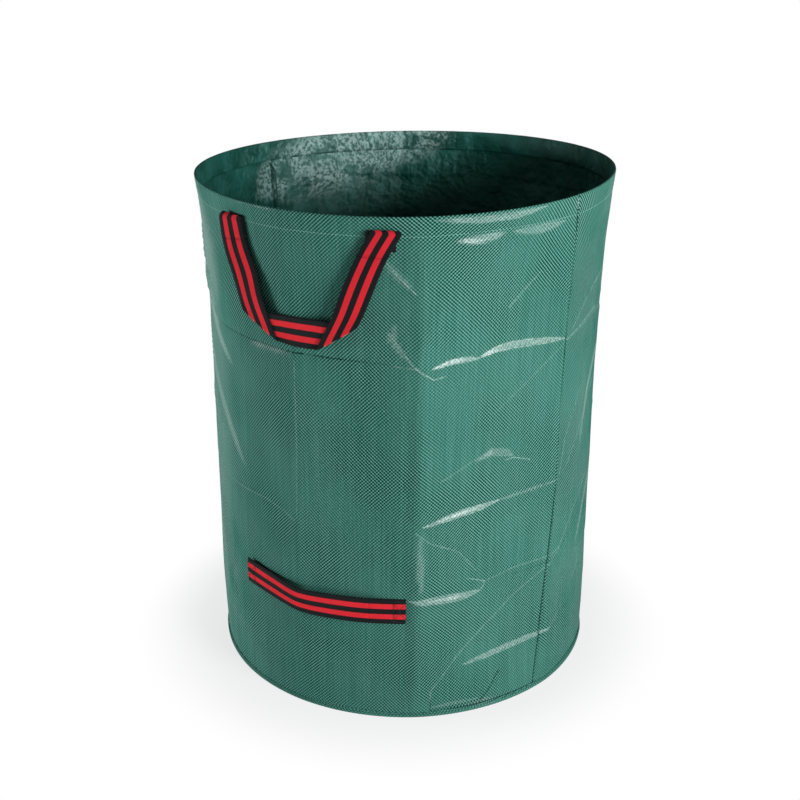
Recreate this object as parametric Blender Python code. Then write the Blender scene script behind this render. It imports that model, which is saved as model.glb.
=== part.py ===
"""A self-standing garden waste bag: woven cloth wall, hooped hem, sewn base and four webbing handles.

Metres, +Z up. The origin is the middle of the base's underside. The front handles face -Y, and an
azimuth is measured from there, towards +X. The back side is the front side turned half round.
"""

import math

import bmesh
import bpy
from mathutils import Matrix, Vector

# The cloth shell
HEIGHT = 0.760
MOUTH_RADIUS = 0.325
WAIST_RADIUS = 0.309
BASE_RADIUS = 0.3045
FLARE_DEPTH = 0.200
FLARE_POWER = 1.5
CLOTH = 0.0012
SEAM_AZIMUTH = math.radians(73)
SEAM_ALLOWANCE = 0.012

# The hem and the hoop in its tunnel
HEM_DEPTH = 0.031
HEM_STITCH_BAND = 0.005
HOOP_THICKNESS = 0.0010
HOOP_END_PLAY = 0.0015

# The binding round the base seam
BINDING_HEIGHT = 0.009
BINDING_THICKNESS = 0.0022
BINDING_ROUND = 0.0008

# Webbing, woven in five bands
WEBBING_WIDTH = 0.040
WEBBING_THICKNESS = 0.0014
BANDS = 5
RED_BANDS = (1, 3)

# The carry handles below the rim, hanging folded down
CARRY_ROOT_AZIMUTH = math.radians(20.5)
CARRY_ROOT_DROP = 0.024
CARRY_END_LENGTH = 0.024
CARRY_BEND_RADIUS = 0.0036
CARRY_BEND_LEAD = 0.028
CARRY_BAR_DROP = 0.144
CARRY_CORNER_REACH = 0.0615
CARRY_LEG_FACING = math.radians(11.5)
CARRY_HINGE_LEAD = 0.0023

# The tipping handles above the base
TIPPING_HEIGHT = 0.185
TIPPING_SHIFT = math.radians(1.7)
TIPPING_HALF_ANGLE = math.radians(25.5)
TIPPING_END_LENGTH = 0.020
TIPPING_SLACK_LENGTH = 0.035
TIPPING_STAND_OFF = 0.006
TIPPING_SAG = 0.003

# Clearances
GAP = 0.0003
SEWN_GAP = 0.0004
FOLD_GAP = 0.0005

# Faceting
ROUND_STEPS = 72
BEND_STEPS = 6
LEG_STEPS = 8
BAR_STEPS = 14
SLACK_STEPS = 6
GRIP_STEPS = 20

# Linear colour, roughness and metallic
CLOTH_FINISH = ((0.045, 0.170, 0.125), 0.40, 0.0)
BINDING_FINISH = ((0.030, 0.125, 0.090), 0.50, 0.0)
HOOP_FINISH = ((0.55, 0.56, 0.55), 0.45, 0.0)
BLACK_FINISH = ((0.013, 0.016, 0.016), 0.75, 0.0)
RED_FINISH = ((0.640, 0.022, 0.032), 0.70, 0.0)


def wall_radius(z):
    """Outer face of the wall: a slight taper up to the waist, then a flare to the mouth."""
    flare_start = HEIGHT - FLARE_DEPTH
    if z <= flare_start:
        return BASE_RADIUS + (WAIST_RADIUS - BASE_RADIUS) * z / flare_start
    share = (z - flare_start) / FLARE_DEPTH
    return WAIST_RADIUS + (MOUTH_RADIUS - WAIST_RADIUS) * share**FLARE_POWER


def outward(azimuth):
    return Vector((math.sin(azimuth), -math.cos(azimuth), 0))


def sideways(azimuth):
    return Vector((math.cos(azimuth), math.sin(azimuth), 0))


def spaced(first, last, steps):
    return [first + (last - first) * i / steps for i in range(steps + 1)]


def smooth_step(share):
    share = min(max(share, 0), 1)
    return share * share * (3 - 2 * share)


def clear_scene():
    for obj in list(bpy.data.objects):
        bpy.data.objects.remove(obj, do_unlink=True)


def make_material(name, finish):
    colour, roughness, metallic = finish
    material = bpy.data.materials.new(name)
    material.use_nodes = True
    shader = material.node_tree.nodes["Principled BSDF"]
    shader.inputs["Base Color"].default_value = (*colour, 1)
    shader.inputs["Roughness"].default_value = roughness
    shader.inputs["Metallic"].default_value = metallic
    material.diffuse_color = (*colour, 1)
    return material


def finish_mesh(name, bm, materials):
    mesh = bpy.data.meshes.new(name)
    bm.to_mesh(mesh)
    bm.free()
    for material in materials:
        mesh.materials.append(material)
    mesh.shade_smooth()
    mesh.set_sharp_from_angle(angle=math.radians(40))
    return mesh


def add_object(name, mesh, parent=None, thickness=None):
    """Links the mesh as an object. A thickness turns a mid-surface into cloth or webbing."""
    obj = bpy.data.objects.new(name, mesh)
    bpy.context.scene.collection.objects.link(obj)
    obj.parent = parent
    if thickness:
        shell = obj.modifiers.new("thickness", "SOLIDIFY")
        shell.thickness = thickness
        shell.offset = 0
        shell.use_even_offset = True
    return obj


def add_empty(name, location, parent=None, turn=0.0):
    empty = bpy.data.objects.new(name, None)
    bpy.context.scene.collection.objects.link(empty)
    empty.empty_display_size = 0.03
    empty.location = location
    empty.rotation_euler.z = turn
    empty.parent = parent
    return empty


def spun(profile, start, angle, steps, closed=False):
    """A profile of (radius, height) points, turned about Z from the start azimuth."""
    bm = bmesh.new()
    points = [bm.verts.new(outward(start) * r + Vector((0, 0, z))) for r, z in profile]
    edges = [bm.edges.new(pair) for pair in zip(points, points[1:])]
    if closed:
        edges.append(bm.edges.new((points[-1], points[0])))
    whole = math.isclose(angle, math.tau)
    bmesh.ops.spin(
        bm, geom=points + edges, axis=(0, 0, 1), cent=(0, 0, 0), angle=angle, steps=steps, use_merge=whole
    )
    bmesh.ops.recalc_face_normals(bm, faces=bm.faces)
    return bm


# The wall panels

TUNNEL = HOOP_THICKNESS + 2 * GAP
PLY_PITCH = CLOTH + TUNNEL
STITCHED_PITCH = CLOTH + GAP
HEM_FLOOR = HEIGHT - HEM_DEPTH
WALL_FOOT = CLOTH + GAP


def wall_profile():
    """Mid-surface of one panel: up the wall, over the rim and down the inner ply of the hem."""
    fold_radius = PLY_PITCH / 2
    fold_height = HEIGHT - fold_radius - CLOTH / 2
    flare_start = HEIGHT - FLARE_DEPTH
    heights = spaced(WALL_FOOT, flare_start, 6)[:-1]
    heights += spaced(flare_start, HEM_FLOOR, 6)[:-1]
    heights += spaced(HEM_FLOOR, fold_height, 3)
    profile = [(wall_radius(z) - CLOTH / 2, z) for z in heights]
    fold_centre = profile[-1][0] - fold_radius
    for angle in spaced(0, math.pi, BEND_STEPS)[1:-1]:
        reach = fold_radius * math.cos(angle)
        profile.append((fold_centre + reach, fold_height + fold_radius * math.sin(angle)))
    for z in spaced(fold_height, HEM_FLOOR + 2 * HEM_STITCH_BAND, 2):
        profile.append((wall_radius(z) - CLOTH / 2 - PLY_PITCH, z))
    for z in (HEM_FLOOR + HEM_STITCH_BAND, HEM_FLOOR):
        profile.append((wall_radius(z) - CLOTH / 2 - STITCHED_PITCH, z))
    return profile


def turn_in_allowance(bm, azimuth):
    """Turns the panel's edge at this azimuth inwards, up to the hem, as the seam allowance."""
    across = sideways(azimuth)
    edge_line = [
        edge
        for edge in bm.edges
        if edge.is_boundary
        and all(abs(v.co.dot(across)) < GAP / 10 and v.co.z <= HEM_FLOOR - GAP for v in edge.verts)
        and abs(edge.verts[0].co.z - edge.verts[1].co.z) > GAP
    ]
    made = bmesh.ops.extrude_edge_only(bm, edges=edge_line)
    moved = [item for item in made["geom"] if isinstance(item, bmesh.types.BMVert)]
    bmesh.ops.translate(bm, verts=moved, vec=-outward(azimuth) * SEAM_ALLOWANCE)


def make_wall_panels(cloth):
    tip_radius = BASE_RADIUS - CLOTH - SEAM_ALLOWANCE
    edge_angle = (CLOTH + GAP) / 2 / tip_radius
    for name, seam in (
        ("wall_panel_back", SEAM_AZIMUTH),
        ("wall_panel_front", SEAM_AZIMUTH - math.pi),
    ):
        first = seam + edge_angle
        sweep = math.pi - 2 * edge_angle
        bm = spun(wall_profile(), first, sweep, ROUND_STEPS // 2)
        turn_in_allowance(bm, first)
        turn_in_allowance(bm, first + sweep)
        bmesh.ops.recalc_face_normals(bm, faces=bm.faces)
        add_object(name, finish_mesh(name, bm, [cloth]), thickness=CLOTH)


# The base, its binding and the rim hoop


def make_base_panel(cloth):
    bm = bmesh.new()
    bmesh.ops.create_cone(
        bm,
        cap_ends=True,
        segments=ROUND_STEPS,
        radius1=BASE_RADIUS,
        radius2=BASE_RADIUS,
        depth=CLOTH,
        matrix=Matrix.Translation((0, 0, CLOTH / 2)) @ Matrix.Rotation(SEAM_AZIMUTH, 4, "Z"),
    )
    add_object("base_panel", finish_mesh("base_panel", bm, [cloth]))


def rounded_rectangle(left, bottom, width, height, corner):
    """Points of a rectangle with quarter-round corners, anticlockwise."""
    points = []
    for quarter, (x, z) in enumerate(
        ((left + width, bottom), (left + width, bottom + height), (left, bottom + height), (left, bottom))
    ):
        centre_x = x + corner * (-1 if x > left else 1)
        centre_z = z + corner * (-1 if z > bottom else 1)
        for angle in spaced((quarter - 1) * math.pi / 2, quarter * math.pi / 2, 3):
            points.append((centre_x + corner * math.cos(angle), centre_z + corner * math.sin(angle)))
    return points


def make_base_binding(binding):
    section = rounded_rectangle(BASE_RADIUS + GAP, 0, BINDING_THICKNESS, BINDING_HEIGHT, BINDING_ROUND)
    bm = spun(section, SEAM_AZIMUTH, math.tau, ROUND_STEPS, closed=True)
    add_object("base_seam_binding", finish_mesh("base_seam_binding", bm, [binding]))


def make_rim_hoop(plastic):
    lowest = HEM_FLOOR + 2 * HEM_STITCH_BAND + HOOP_END_PLAY
    highest = HEIGHT - CLOTH - PLY_PITCH / 2 - HOOP_END_PLAY
    inset = CLOTH + GAP + HOOP_THICKNESS / 2
    strip = [(wall_radius(z) - inset, z) for z in spaced(lowest, highest, 2)]
    bm = spun(strip, SEAM_AZIMUTH, math.tau, ROUND_STEPS)
    add_object("rim_hoop", finish_mesh("rim_hoop", bm, [plastic]), thickness=HOOP_THICKNESS)


# Webbing


def webbing_mesh(name, rows, webbing, pivot):
    """Webbing through rows of points, one point more across than there are bands."""
    bm = bmesh.new()
    bmesh.ops.create_grid(bm, x_segments=BANDS, y_segments=len(rows) - 1, size=1)
    places = [point for row in rows for point in row]
    verts = sorted(bm.verts, key=lambda v: (round(v.co.y, 5), v.co.x))
    for face in bm.faces:
        band = round((face.calc_center_median().x + 1) / 2 * BANDS - 0.5)
        face.material_index = int(band in RED_BANDS)
    for vert, place in zip(verts, places):
        vert.co = place - pivot
    return finish_mesh(name, bm, webbing)


def web_row(edge_a, edge_b, stand_off, arc_radius, turn=0.0, lean=(0, 1), reach=0.0):
    """One row across the webbing, from edge_a to edge_b, each (distance round the wall, height).

    stand_off is the mid-plane's distance from the wall. In a fold, turn runs from 0 on the outer ply
    to pi on the inner one, and the row reaches out along lean, away from the folded webbing.
    """
    row = []
    for share in spaced(0, 1, BANDS):
        arc = edge_a[0] + (edge_b[0] - edge_a[0]) * share
        z = edge_a[1] + (edge_b[1] - edge_a[1]) * share
        azimuth = arc / arc_radius
        fold_out = reach * math.sin(turn)
        height = z + lean[1] * fold_out
        distance = wall_radius(height) + stand_off + reach * math.cos(turn)
        along = sideways(azimuth) * lean[0] * fold_out
        row.append(outward(azimuth) * distance + along + Vector((0, 0, height)))
    return row


def flattened(row, facing, share):
    """Turns a row, by this share, from the round of the wall to a straight line that faces an azimuth."""
    middle = (row[0] + row[-1]) / 2
    across = row[-1] - row[0]
    straight = sideways(facing) * math.copysign(across.xy.length, across.x) + Vector((0, 0, across.z))
    shares = spaced(-0.5, 0.5, BANDS)
    return [point.lerp(middle + straight * place, share) for point, place in zip(row, shares)]


def mirrored(edge):
    return (-edge[0], edge[1])


# The carry handles

CARRY_ROOT_HEIGHT = HEIGHT - CARRY_ROOT_DROP
CARRY_BAR_HEIGHT = CARRY_ROOT_HEIGHT - CARRY_BAR_DROP
CARRY_ARC_RADIUS = wall_radius(CARRY_BAR_HEIGHT)
CARRY_ROOT_ARC = CARRY_ROOT_AZIMUTH * CARRY_ARC_RADIUS
CARRY_LEAN = math.atan2(CARRY_ROOT_ARC - CARRY_CORNER_REACH, CARRY_BAR_DROP)
SEWN_OFF = SEWN_GAP + WEBBING_THICKNESS / 2
HINGE_OFF = SEWN_OFF + CARRY_BEND_RADIUS
HANGING_OFF = HINGE_OFF + CARRY_BEND_RADIUS
CORNER_RADIUS = (WEBBING_THICKNESS + FOLD_GAP) / 2
CARRY_HANGING_RADIUS = wall_radius(CARRY_ROOT_HEIGHT) + HANGING_OFF
CARRY_HINGE_REACH = CARRY_HANGING_RADIUS * math.cos(CARRY_ROOT_AZIMUTH) + CARRY_HINGE_LEAD
CARRY_HINGE = Vector((0, -CARRY_HINGE_REACH, CARRY_ROOT_HEIGHT))


def leg_edges(z, side):
    """Outer and inner edge of a leg at this height: it leans towards the middle on its way down."""
    centre = CARRY_ROOT_ARC - math.tan(CARRY_LEAN) * (CARRY_ROOT_HEIGHT - z)
    half = WEBBING_WIDTH / 2 / math.cos(CARRY_LEAN)
    return (side * (centre + half), z), (side * (centre - half), z)


def corner_fold():
    """The diagonal fold at the left corner: its two ends and the way that it faces."""
    leg = Vector((math.sin(CARRY_LEAN), -math.cos(CARRY_LEAN)))
    crease = (leg + Vector((1, 0))).normalized()
    half = WEBBING_WIDTH / 2 / abs(leg.cross(crease))
    corner = Vector((-CARRY_CORNER_REACH, CARRY_BAR_HEIGHT))
    return corner - crease * half, corner + crease * half, (crease.y, -crease.x)


def between(first, last, steps):
    """Pairs of edges, evenly from the first pair to the last."""
    pairs = []
    for share in spaced(0, 1, steps):
        pairs.append([tuple(Vector(a).lerp(Vector(b), share)) for a, b in zip(first, last)])
    return pairs


def carry_rows(first, last, steps, stand_off):
    return [web_row(a, b, stand_off, CARRY_ARC_RADIUS) for a, b in between(first, last, steps)]


def make_carry_strap(webbing):
    """Down one leg, round the diagonal fold, along the bar behind the legs and up the other leg.

    A leg is flat across at its top and takes the round of the wall on its way down.
    """
    end_a, end_b, lean = corner_fold()
    start = CARRY_ROOT_HEIGHT - CARRY_BEND_LEAD - GAP
    leg = carry_rows(leg_edges(start, -1), (end_a, end_b), LEG_STEPS, HANGING_OFF)
    shares = [1 - smooth_step(place) for place in spaced(0, 1, LEG_STEPS)]
    leg = [flattened(row, -CARRY_LEG_FACING, share) for row, share in zip(leg, shares)]
    fold_off = HANGING_OFF - CORNER_RADIUS
    turns = spaced(0, math.pi, BEND_STEPS)[1:]
    fold = [web_row(end_a, end_b, fold_off, CARRY_ARC_RADIUS, turn, lean, CORNER_RADIUS) for turn in turns]
    far_ends = (mirrored(end_a), mirrored(end_b))
    bar = carry_rows((end_a, end_b), far_ends, BAR_STEPS, fold_off - CORNER_RADIUS)[1:-1]
    half = leg + fold
    other_half = [[Vector((-p.x, p.y, p.z)) for p in row] for row in reversed(half)]
    return webbing_mesh("carry_strap", half + bar + other_half, webbing, CARRY_HINGE)


def make_carry_bend(side, webbing):
    """The free webbing from the sewn end, over the top and down to the leg."""
    root = leg_edges(CARRY_ROOT_HEIGHT, side)
    foot = leg_edges(CARRY_ROOT_HEIGHT - CARRY_BEND_LEAD, side)
    facing = side * CARRY_LEG_FACING
    rows = [flattened(row, facing, 1) for row in carry_rows(foot, root, BEND_STEPS, HANGING_OFF)[:-1]]
    for turn in spaced(0, math.pi, 2 * BEND_STEPS):
        row = web_row(*root, HINGE_OFF, CARRY_ARC_RADIUS, turn, reach=CARRY_BEND_RADIUS)
        rows.append(flattened(row, facing, 1 - smooth_step(turn / math.pi)))
    return webbing_mesh("carry_bend", rows, webbing, Vector())


def make_carry_end(side, webbing):
    """The end of the webbing, sewn flat to the wall under the hem's stitching."""
    top = CARRY_ROOT_HEIGHT - GAP
    upper = [(arc, top) for arc, _ in leg_edges(CARRY_ROOT_HEIGHT, side)]
    lower = [(arc, top - CARRY_END_LENGTH) for arc, _ in upper]
    return webbing_mesh("carry_end", carry_rows(upper, lower, 4, SEWN_OFF), webbing, Vector())


# The tipping handles

TIPPING_ARC_RADIUS = wall_radius(TIPPING_HEIGHT)
TIPPING_HALF_ARC = TIPPING_HALF_ANGLE * TIPPING_ARC_RADIUS
TIPPING_SLACK_ARC = TIPPING_HALF_ARC - TIPPING_END_LENGTH
TIPPING_GRIP_ARC = TIPPING_SLACK_ARC - TIPPING_SLACK_LENGTH
TIPPING_PULL = outward(TIPPING_SHIFT) * TIPPING_ARC_RADIUS + Vector((0, 0, TIPPING_HEIGHT))


def tipping_row(arc):
    """Across the handle at this distance from its middle: it stands off and sags between its ends."""
    freedom = smooth_step((TIPPING_SLACK_ARC - abs(arc)) / TIPPING_SLACK_LENGTH)
    sag = TIPPING_SAG * max(0, 1 - (arc / TIPPING_SLACK_ARC) ** 2)
    middle = TIPPING_HEIGHT - sag
    place = arc + TIPPING_SHIFT * TIPPING_ARC_RADIUS
    top, bottom = (place, middle + WEBBING_WIDTH / 2), (place, middle - WEBBING_WIDTH / 2)
    return web_row(top, bottom, SEWN_OFF + TIPPING_STAND_OFF * freedom, TIPPING_ARC_RADIUS)


def tipping_mesh(name, first, last, steps, webbing, pivot):
    return webbing_mesh(name, [tipping_row(arc) for arc in spaced(first, last, steps)], webbing, pivot)


# Both sides


def make_side(side_name, turn, meshes):
    """Hangs one side's handles: the moving ones on empties at their joints, the sewn ends on the bag."""
    side = add_empty(f"{side_name}_side", (0, 0, 0), turn=turn)
    hinge = add_empty(f"{side_name}_carry_hinge", CARRY_HINGE, side)
    pull = add_empty(f"{side_name}_tipping_pull", TIPPING_PULL, side)
    holders = {"carry_handle": hinge, "tipping_handle": pull}
    for name, mesh in meshes.items():
        add_object(f"{side_name}_{name}", mesh, holders.get(name, side), WEBBING_THICKNESS)


def handle_meshes(webbing):
    meshes = {"carry_handle": make_carry_strap(webbing)}
    slack_start = TIPPING_SLACK_ARC - GAP
    slack_end = TIPPING_GRIP_ARC + GAP
    grip = TIPPING_GRIP_ARC
    meshes["tipping_handle"] = tipping_mesh("tipping_grip", -grip, grip, GRIP_STEPS, webbing, TIPPING_PULL)
    for hand, side in (("left", -1), ("right", 1)):
        meshes[f"carry_handle_{hand}_end"] = make_carry_end(side, webbing)
        meshes[f"carry_handle_{hand}_bend"] = make_carry_bend(side, webbing)
        meshes[f"tipping_handle_{hand}_end"] = tipping_mesh(
            "tipping_end", side * TIPPING_HALF_ARC, side * TIPPING_SLACK_ARC, 4, webbing, Vector()
        )
        meshes[f"tipping_handle_{hand}_slack"] = tipping_mesh(
            "tipping_slack", side * slack_start, side * slack_end, SLACK_STEPS, webbing, Vector()
        )
    return meshes


def main():
    clear_scene()
    cloth = make_material("green_woven_cloth", CLOTH_FINISH)
    binding = make_material("green_binding", BINDING_FINISH)
    plastic = make_material("hoop_plastic", HOOP_FINISH)
    webbing = [make_material("black_webbing", BLACK_FINISH), make_material("red_webbing", RED_FINISH)]
    make_wall_panels(cloth)
    make_base_panel(cloth)
    make_base_binding(binding)
    make_rim_hoop(plastic)
    meshes = handle_meshes(webbing)
    make_side("front", 0.0, meshes)
    make_side("back", math.pi, meshes)


main()
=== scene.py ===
# %% [markdown]
# # A garden waste bag, standing open
# The bag is one round wall of green woven plastic tape, hemmed over a springy hoop, sewn to a round base
# and carried by four straps of striped webbing. The solids of its pieces are loaded first as a fixed frame.
# Everything soft is then made again over that frame as real cloth and webbing, in metres, with +Z up.
# An azimuth is measured round the bag from the middle of the front handles, towards +X.

import math
import random

import bmesh
import bpy
import numpy as np
from mathutils import Matrix, Vector


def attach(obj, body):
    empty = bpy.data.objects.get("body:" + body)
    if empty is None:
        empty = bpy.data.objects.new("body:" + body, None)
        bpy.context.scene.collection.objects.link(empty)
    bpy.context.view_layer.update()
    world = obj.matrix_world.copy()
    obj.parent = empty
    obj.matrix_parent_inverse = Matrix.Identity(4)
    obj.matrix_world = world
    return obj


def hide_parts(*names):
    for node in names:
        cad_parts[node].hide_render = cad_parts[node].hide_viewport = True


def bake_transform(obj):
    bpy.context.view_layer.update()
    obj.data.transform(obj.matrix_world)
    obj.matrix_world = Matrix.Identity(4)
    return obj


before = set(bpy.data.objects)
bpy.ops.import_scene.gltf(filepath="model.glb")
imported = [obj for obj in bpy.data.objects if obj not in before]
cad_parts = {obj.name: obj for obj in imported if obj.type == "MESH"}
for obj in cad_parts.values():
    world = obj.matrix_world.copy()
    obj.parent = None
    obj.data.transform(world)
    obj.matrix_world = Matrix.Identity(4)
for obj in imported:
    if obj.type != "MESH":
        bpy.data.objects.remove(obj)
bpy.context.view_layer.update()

# %% [markdown]
# ## The camera
# A photographer stood a little to the right of the handles and looked down at the bag. The lens, distance
# and tilt come from lining up the bag's outline, so the camera is placed by those numbers: it looks along
# the ground towards the bag's axis, and then tilts, pans and rolls by a few named angles.

# %% The camera
CAMERA_AZIMUTH = math.radians(26.3)
CAMERA_DISTANCE = 1.729
CAMERA_HEIGHT = 1.032
CAMERA_TILT = math.radians(20.48)
CAMERA_PAN = math.radians(0.17)
CAMERA_ROLL = math.radians(0.22)
LENS_OVER_FRAME = 1144.141 / 800


def make_camera():
    camera = bpy.data.cameras.new("photo_camera")
    camera.sensor_width = 36
    camera.lens = LENS_OVER_FRAME * camera.sensor_width
    eye = bpy.data.objects.new("photo_camera", camera)
    bpy.context.scene.collection.objects.link(eye)
    stand = Matrix.Rotation(CAMERA_AZIMUTH, 4, "Z") @ Matrix.Translation((0, -CAMERA_DISTANCE, CAMERA_HEIGHT))
    aim = Matrix.Rotation(CAMERA_PAN, 4, "Z") @ Matrix.Rotation(math.pi / 2 - CAMERA_TILT, 4, "X")
    eye.matrix_world = stand @ aim @ Matrix.Rotation(CAMERA_ROLL, 4, "Z")
    bpy.context.scene.camera = eye
    return eye


EYE = make_camera()
print("camera:", round(EYE.data.lens, 1), "mm lens at", [round(x, 3) for x in EYE.matrix_world.translation])

# %% [markdown]
# ## Finishes as Python sums
# A finish is a net of shader nodes. Wiring them by hand hides the idea, so a small class stands for the
# output of a node and lets Python's own signs add the Math nodes. One method makes every other node.

# %% Node sums
class Wire:
    """A node's output in a finish, which sums can go on from."""

    def __init__(self, finish, socket):
        self.finish = finish
        self.socket = socket

    def sum(self, operation, *values):
        return self.finish.node("ShaderNodeMath", {"operation": operation}, dict(enumerate(values)))

    def __add__(self, other):
        return self.sum("ADD", self, other)

    def __sub__(self, other):
        return self.sum("SUBTRACT", self, other)

    def __rsub__(self, other):
        return self.sum("SUBTRACT", other, self)

    def __mul__(self, other):
        return self.sum("MULTIPLY", self, other)

    def sine(self):
        return self.sum("SINE", self)

    def cosine(self):
        return self.sum("COSINE", self)

    def within(self):
        """This value, kept between 0 and 1."""
        return self.larger(0.0).smaller(1.0)

    def smaller(self, other):
        return self.sum("MINIMUM", self, other)

    def larger(self, other):
        return self.sum("MAXIMUM", self, other)

    def step(self, low, high, first=0.0, last=1.0):
        """Rises smoothly from first to last while this value goes from low to high."""
        values = {"Value": self, "From Min": low, "From Max": high, "To Min": first, "To Max": last}
        return self.finish.node("ShaderNodeMapRange", {"interpolation_type": "SMOOTHSTEP"}, values)

    __radd__ = __add__
    __rmul__ = __mul__


class Finish:
    """A material under construction, with its one shader."""

    def __init__(self, name, **plain):
        self.material = bpy.data.materials.new(name)
        self.material.use_nodes = True
        self.tree = self.material.node_tree
        self.shader = self.tree.nodes["Principled BSDF"]
        for socket, value in plain.items():
            self.shader.inputs[socket.replace("_", " ")].default_value = value

    def node(self, kind, settings=None, values=None, out=0):
        """A node of this kind: its settings first, then the values or wires of its sockets."""
        made = self.tree.nodes.new(kind)
        for setting, value in (settings or {}).items():
            setattr(made, setting, value)
        for socket, value in (values or {}).items():
            if isinstance(value, Wire):
                self.tree.links.new(value.socket, made.inputs[socket])
            else:
                made.inputs[socket].default_value = value
        return Wire(self, made.outputs[out])

    def noise(self, place, scale, detail=2.0, roughness=0.5, out=0):
        values = {"Vector": place, "Scale": scale, "Detail": detail, "Roughness": roughness}
        return self.node("ShaderNodeTexNoise", {"noise_dimensions": "3D"}, values, out)

    def cells(self, place, scale):
        """0 along the edges of cells that fit together like crumpled facets, and more inside them."""
        settings = {"feature": "DISTANCE_TO_EDGE"}
        return self.node("ShaderNodeTexVoronoi", settings, {"Vector": place, "Scale": scale})

    def colour(self, share, first, last):
        """The first colour where share is 0 and the last where it is 1. A colour may be a wire."""
        mix = self.tree.nodes.new("ShaderNodeMix")
        mix.data_type = "RGBA"
        ends = [socket for socket in mix.inputs if socket.type == "RGBA"]
        for socket, value in ((mix.inputs["Factor"], share), (ends[0], first), (ends[1], last)):
            if isinstance(value, Wire):
                self.tree.links.new(value.socket, socket)
            else:
                socket.default_value = value if isinstance(value, float) else (*value, 1)
        result = next(socket for socket in mix.outputs if socket.type == "RGBA")
        return Wire(self, result)

    def painted(self, mark):
        """A number that the mesh holds for each of its points."""
        return self.node("ShaderNodeAttribute", {"attribute_name": mark}, None, "Fac")

    def cloth_place(self):
        """Metres across and along the piece, from its own UV map."""
        place = self.node("ShaderNodeUVMap", {"uv_map": CLOTH_MAP})
        across = self.node("ShaderNodeSeparateXYZ", None, {"Vector": place}, "X")
        along = Wire(self, across.socket.node.outputs["Y"])
        return place, across, along

    def bump(self, height, distance, before=None):
        """Raises the surface by up to distance in metres, where height is 1."""
        values = {"Height": height, "Distance": distance}
        if before:
            values["Normal"] = before
        return self.node("ShaderNodeBump", None, values)

    def wear(self, **wires):
        for socket, wire in wires.items():
            self.tree.links.new(wire.socket, self.shader.inputs[socket.replace("_", " ")])
        return self.material


CLOTH_MAP = "cloth"
print("finishes: ready")

# %% [markdown]
# ## How the bag stands
# The wall was cut as a plain tube that flares to the mouth, but soft cloth never stands like that. Its
# mouth is pulled oval and tips back, the waist draws in, and the cloth keeps every fold of the flat parcel
# that it came in. So one function says where any place of the plain wall lies on the standing bag, and
# wall, hem, straps and stitches all ask it. They then stay together whatever the shape becomes.

# %% The plain wall
HEIGHT = 0.760
MOUTH_RADIUS = 0.325
WAIST_RADIUS = 0.309
BASE_RADIUS = 0.3045
FLARE_DEPTH = 0.200
FLARE_POWER = 1.5
PULL_POWER = 1.5

MOUTH_LOBES = {2: (0.0334, 0.0011), 3: (0.0076, 0.0031)}
BASE_LOBES = {2: (0.0076, -0.0004)}
FOOT_LOBES = {0: (-0.005, 0), 1: (0, 0.010), 2: (0.005, 0)}
FOOT_REACH = 0.09
WAIST_DRAW = -0.0069
REAR_DRAW = -0.050
REAR_RISE = 0.0058
LEAN = (0.0013, 0.0081)
TIP = (0.0076, 0.0173)
RIM_WAVES = {0: (0.0004, 0), 1: (-0.0022, 0.0030), 2: (-0.0026, 0)}
RIM_WAVE_POWER = 8


def plain_radius(height):
    share = np.clip((height - HEIGHT + FLARE_DEPTH) / FLARE_DEPTH, 0, None)
    taper = np.clip(height / (HEIGHT - FLARE_DEPTH), None, 1)
    tube = BASE_RADIUS + (WAIST_RADIUS - BASE_RADIUS) * taper
    return tube + (MOUTH_RADIUS - WAIST_RADIUS) * share**FLARE_POWER


def lobes(turn, shares):
    return sum(a * np.cos(n * turn) + b * np.sin(n * turn) for n, (a, b) in shares.items())


# %% [markdown]
# Fold marks are written as routes on the flat cloth: degrees round the bag and millimetres up it. A ridge
# stands out or in on both sides of its route. A ledge is a narrow lens of cloth that tips up to the light
# along its route, steps out by its own width times a slope, and falls back below. Those are the bright
# slivers, and their faces and edges also get a painted highlight. Between the upright folds the cloth is
# flatter than a round tube, in broad facets.

# %% Fold marks
MM_PER_DEGREE = 5.41
UPRIGHT_RIDGE = 0.5
RIDGE_GAIN = 1.6
LEDGE_SLOPE = 0.46

# Each upright fold, in degrees, with how flat the stretch after it is, from a round tube to a plane
FACETS = {
    -107: 0.36,
    -62: 0.16,
    -2: 0.50,
    30.2: 0.85,
    73: 0.60,
    104: 0.40,
    140: 0.40,
    178: 0.45,
    207.3: 0.28,
    236.3: 0.22,
}
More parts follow.
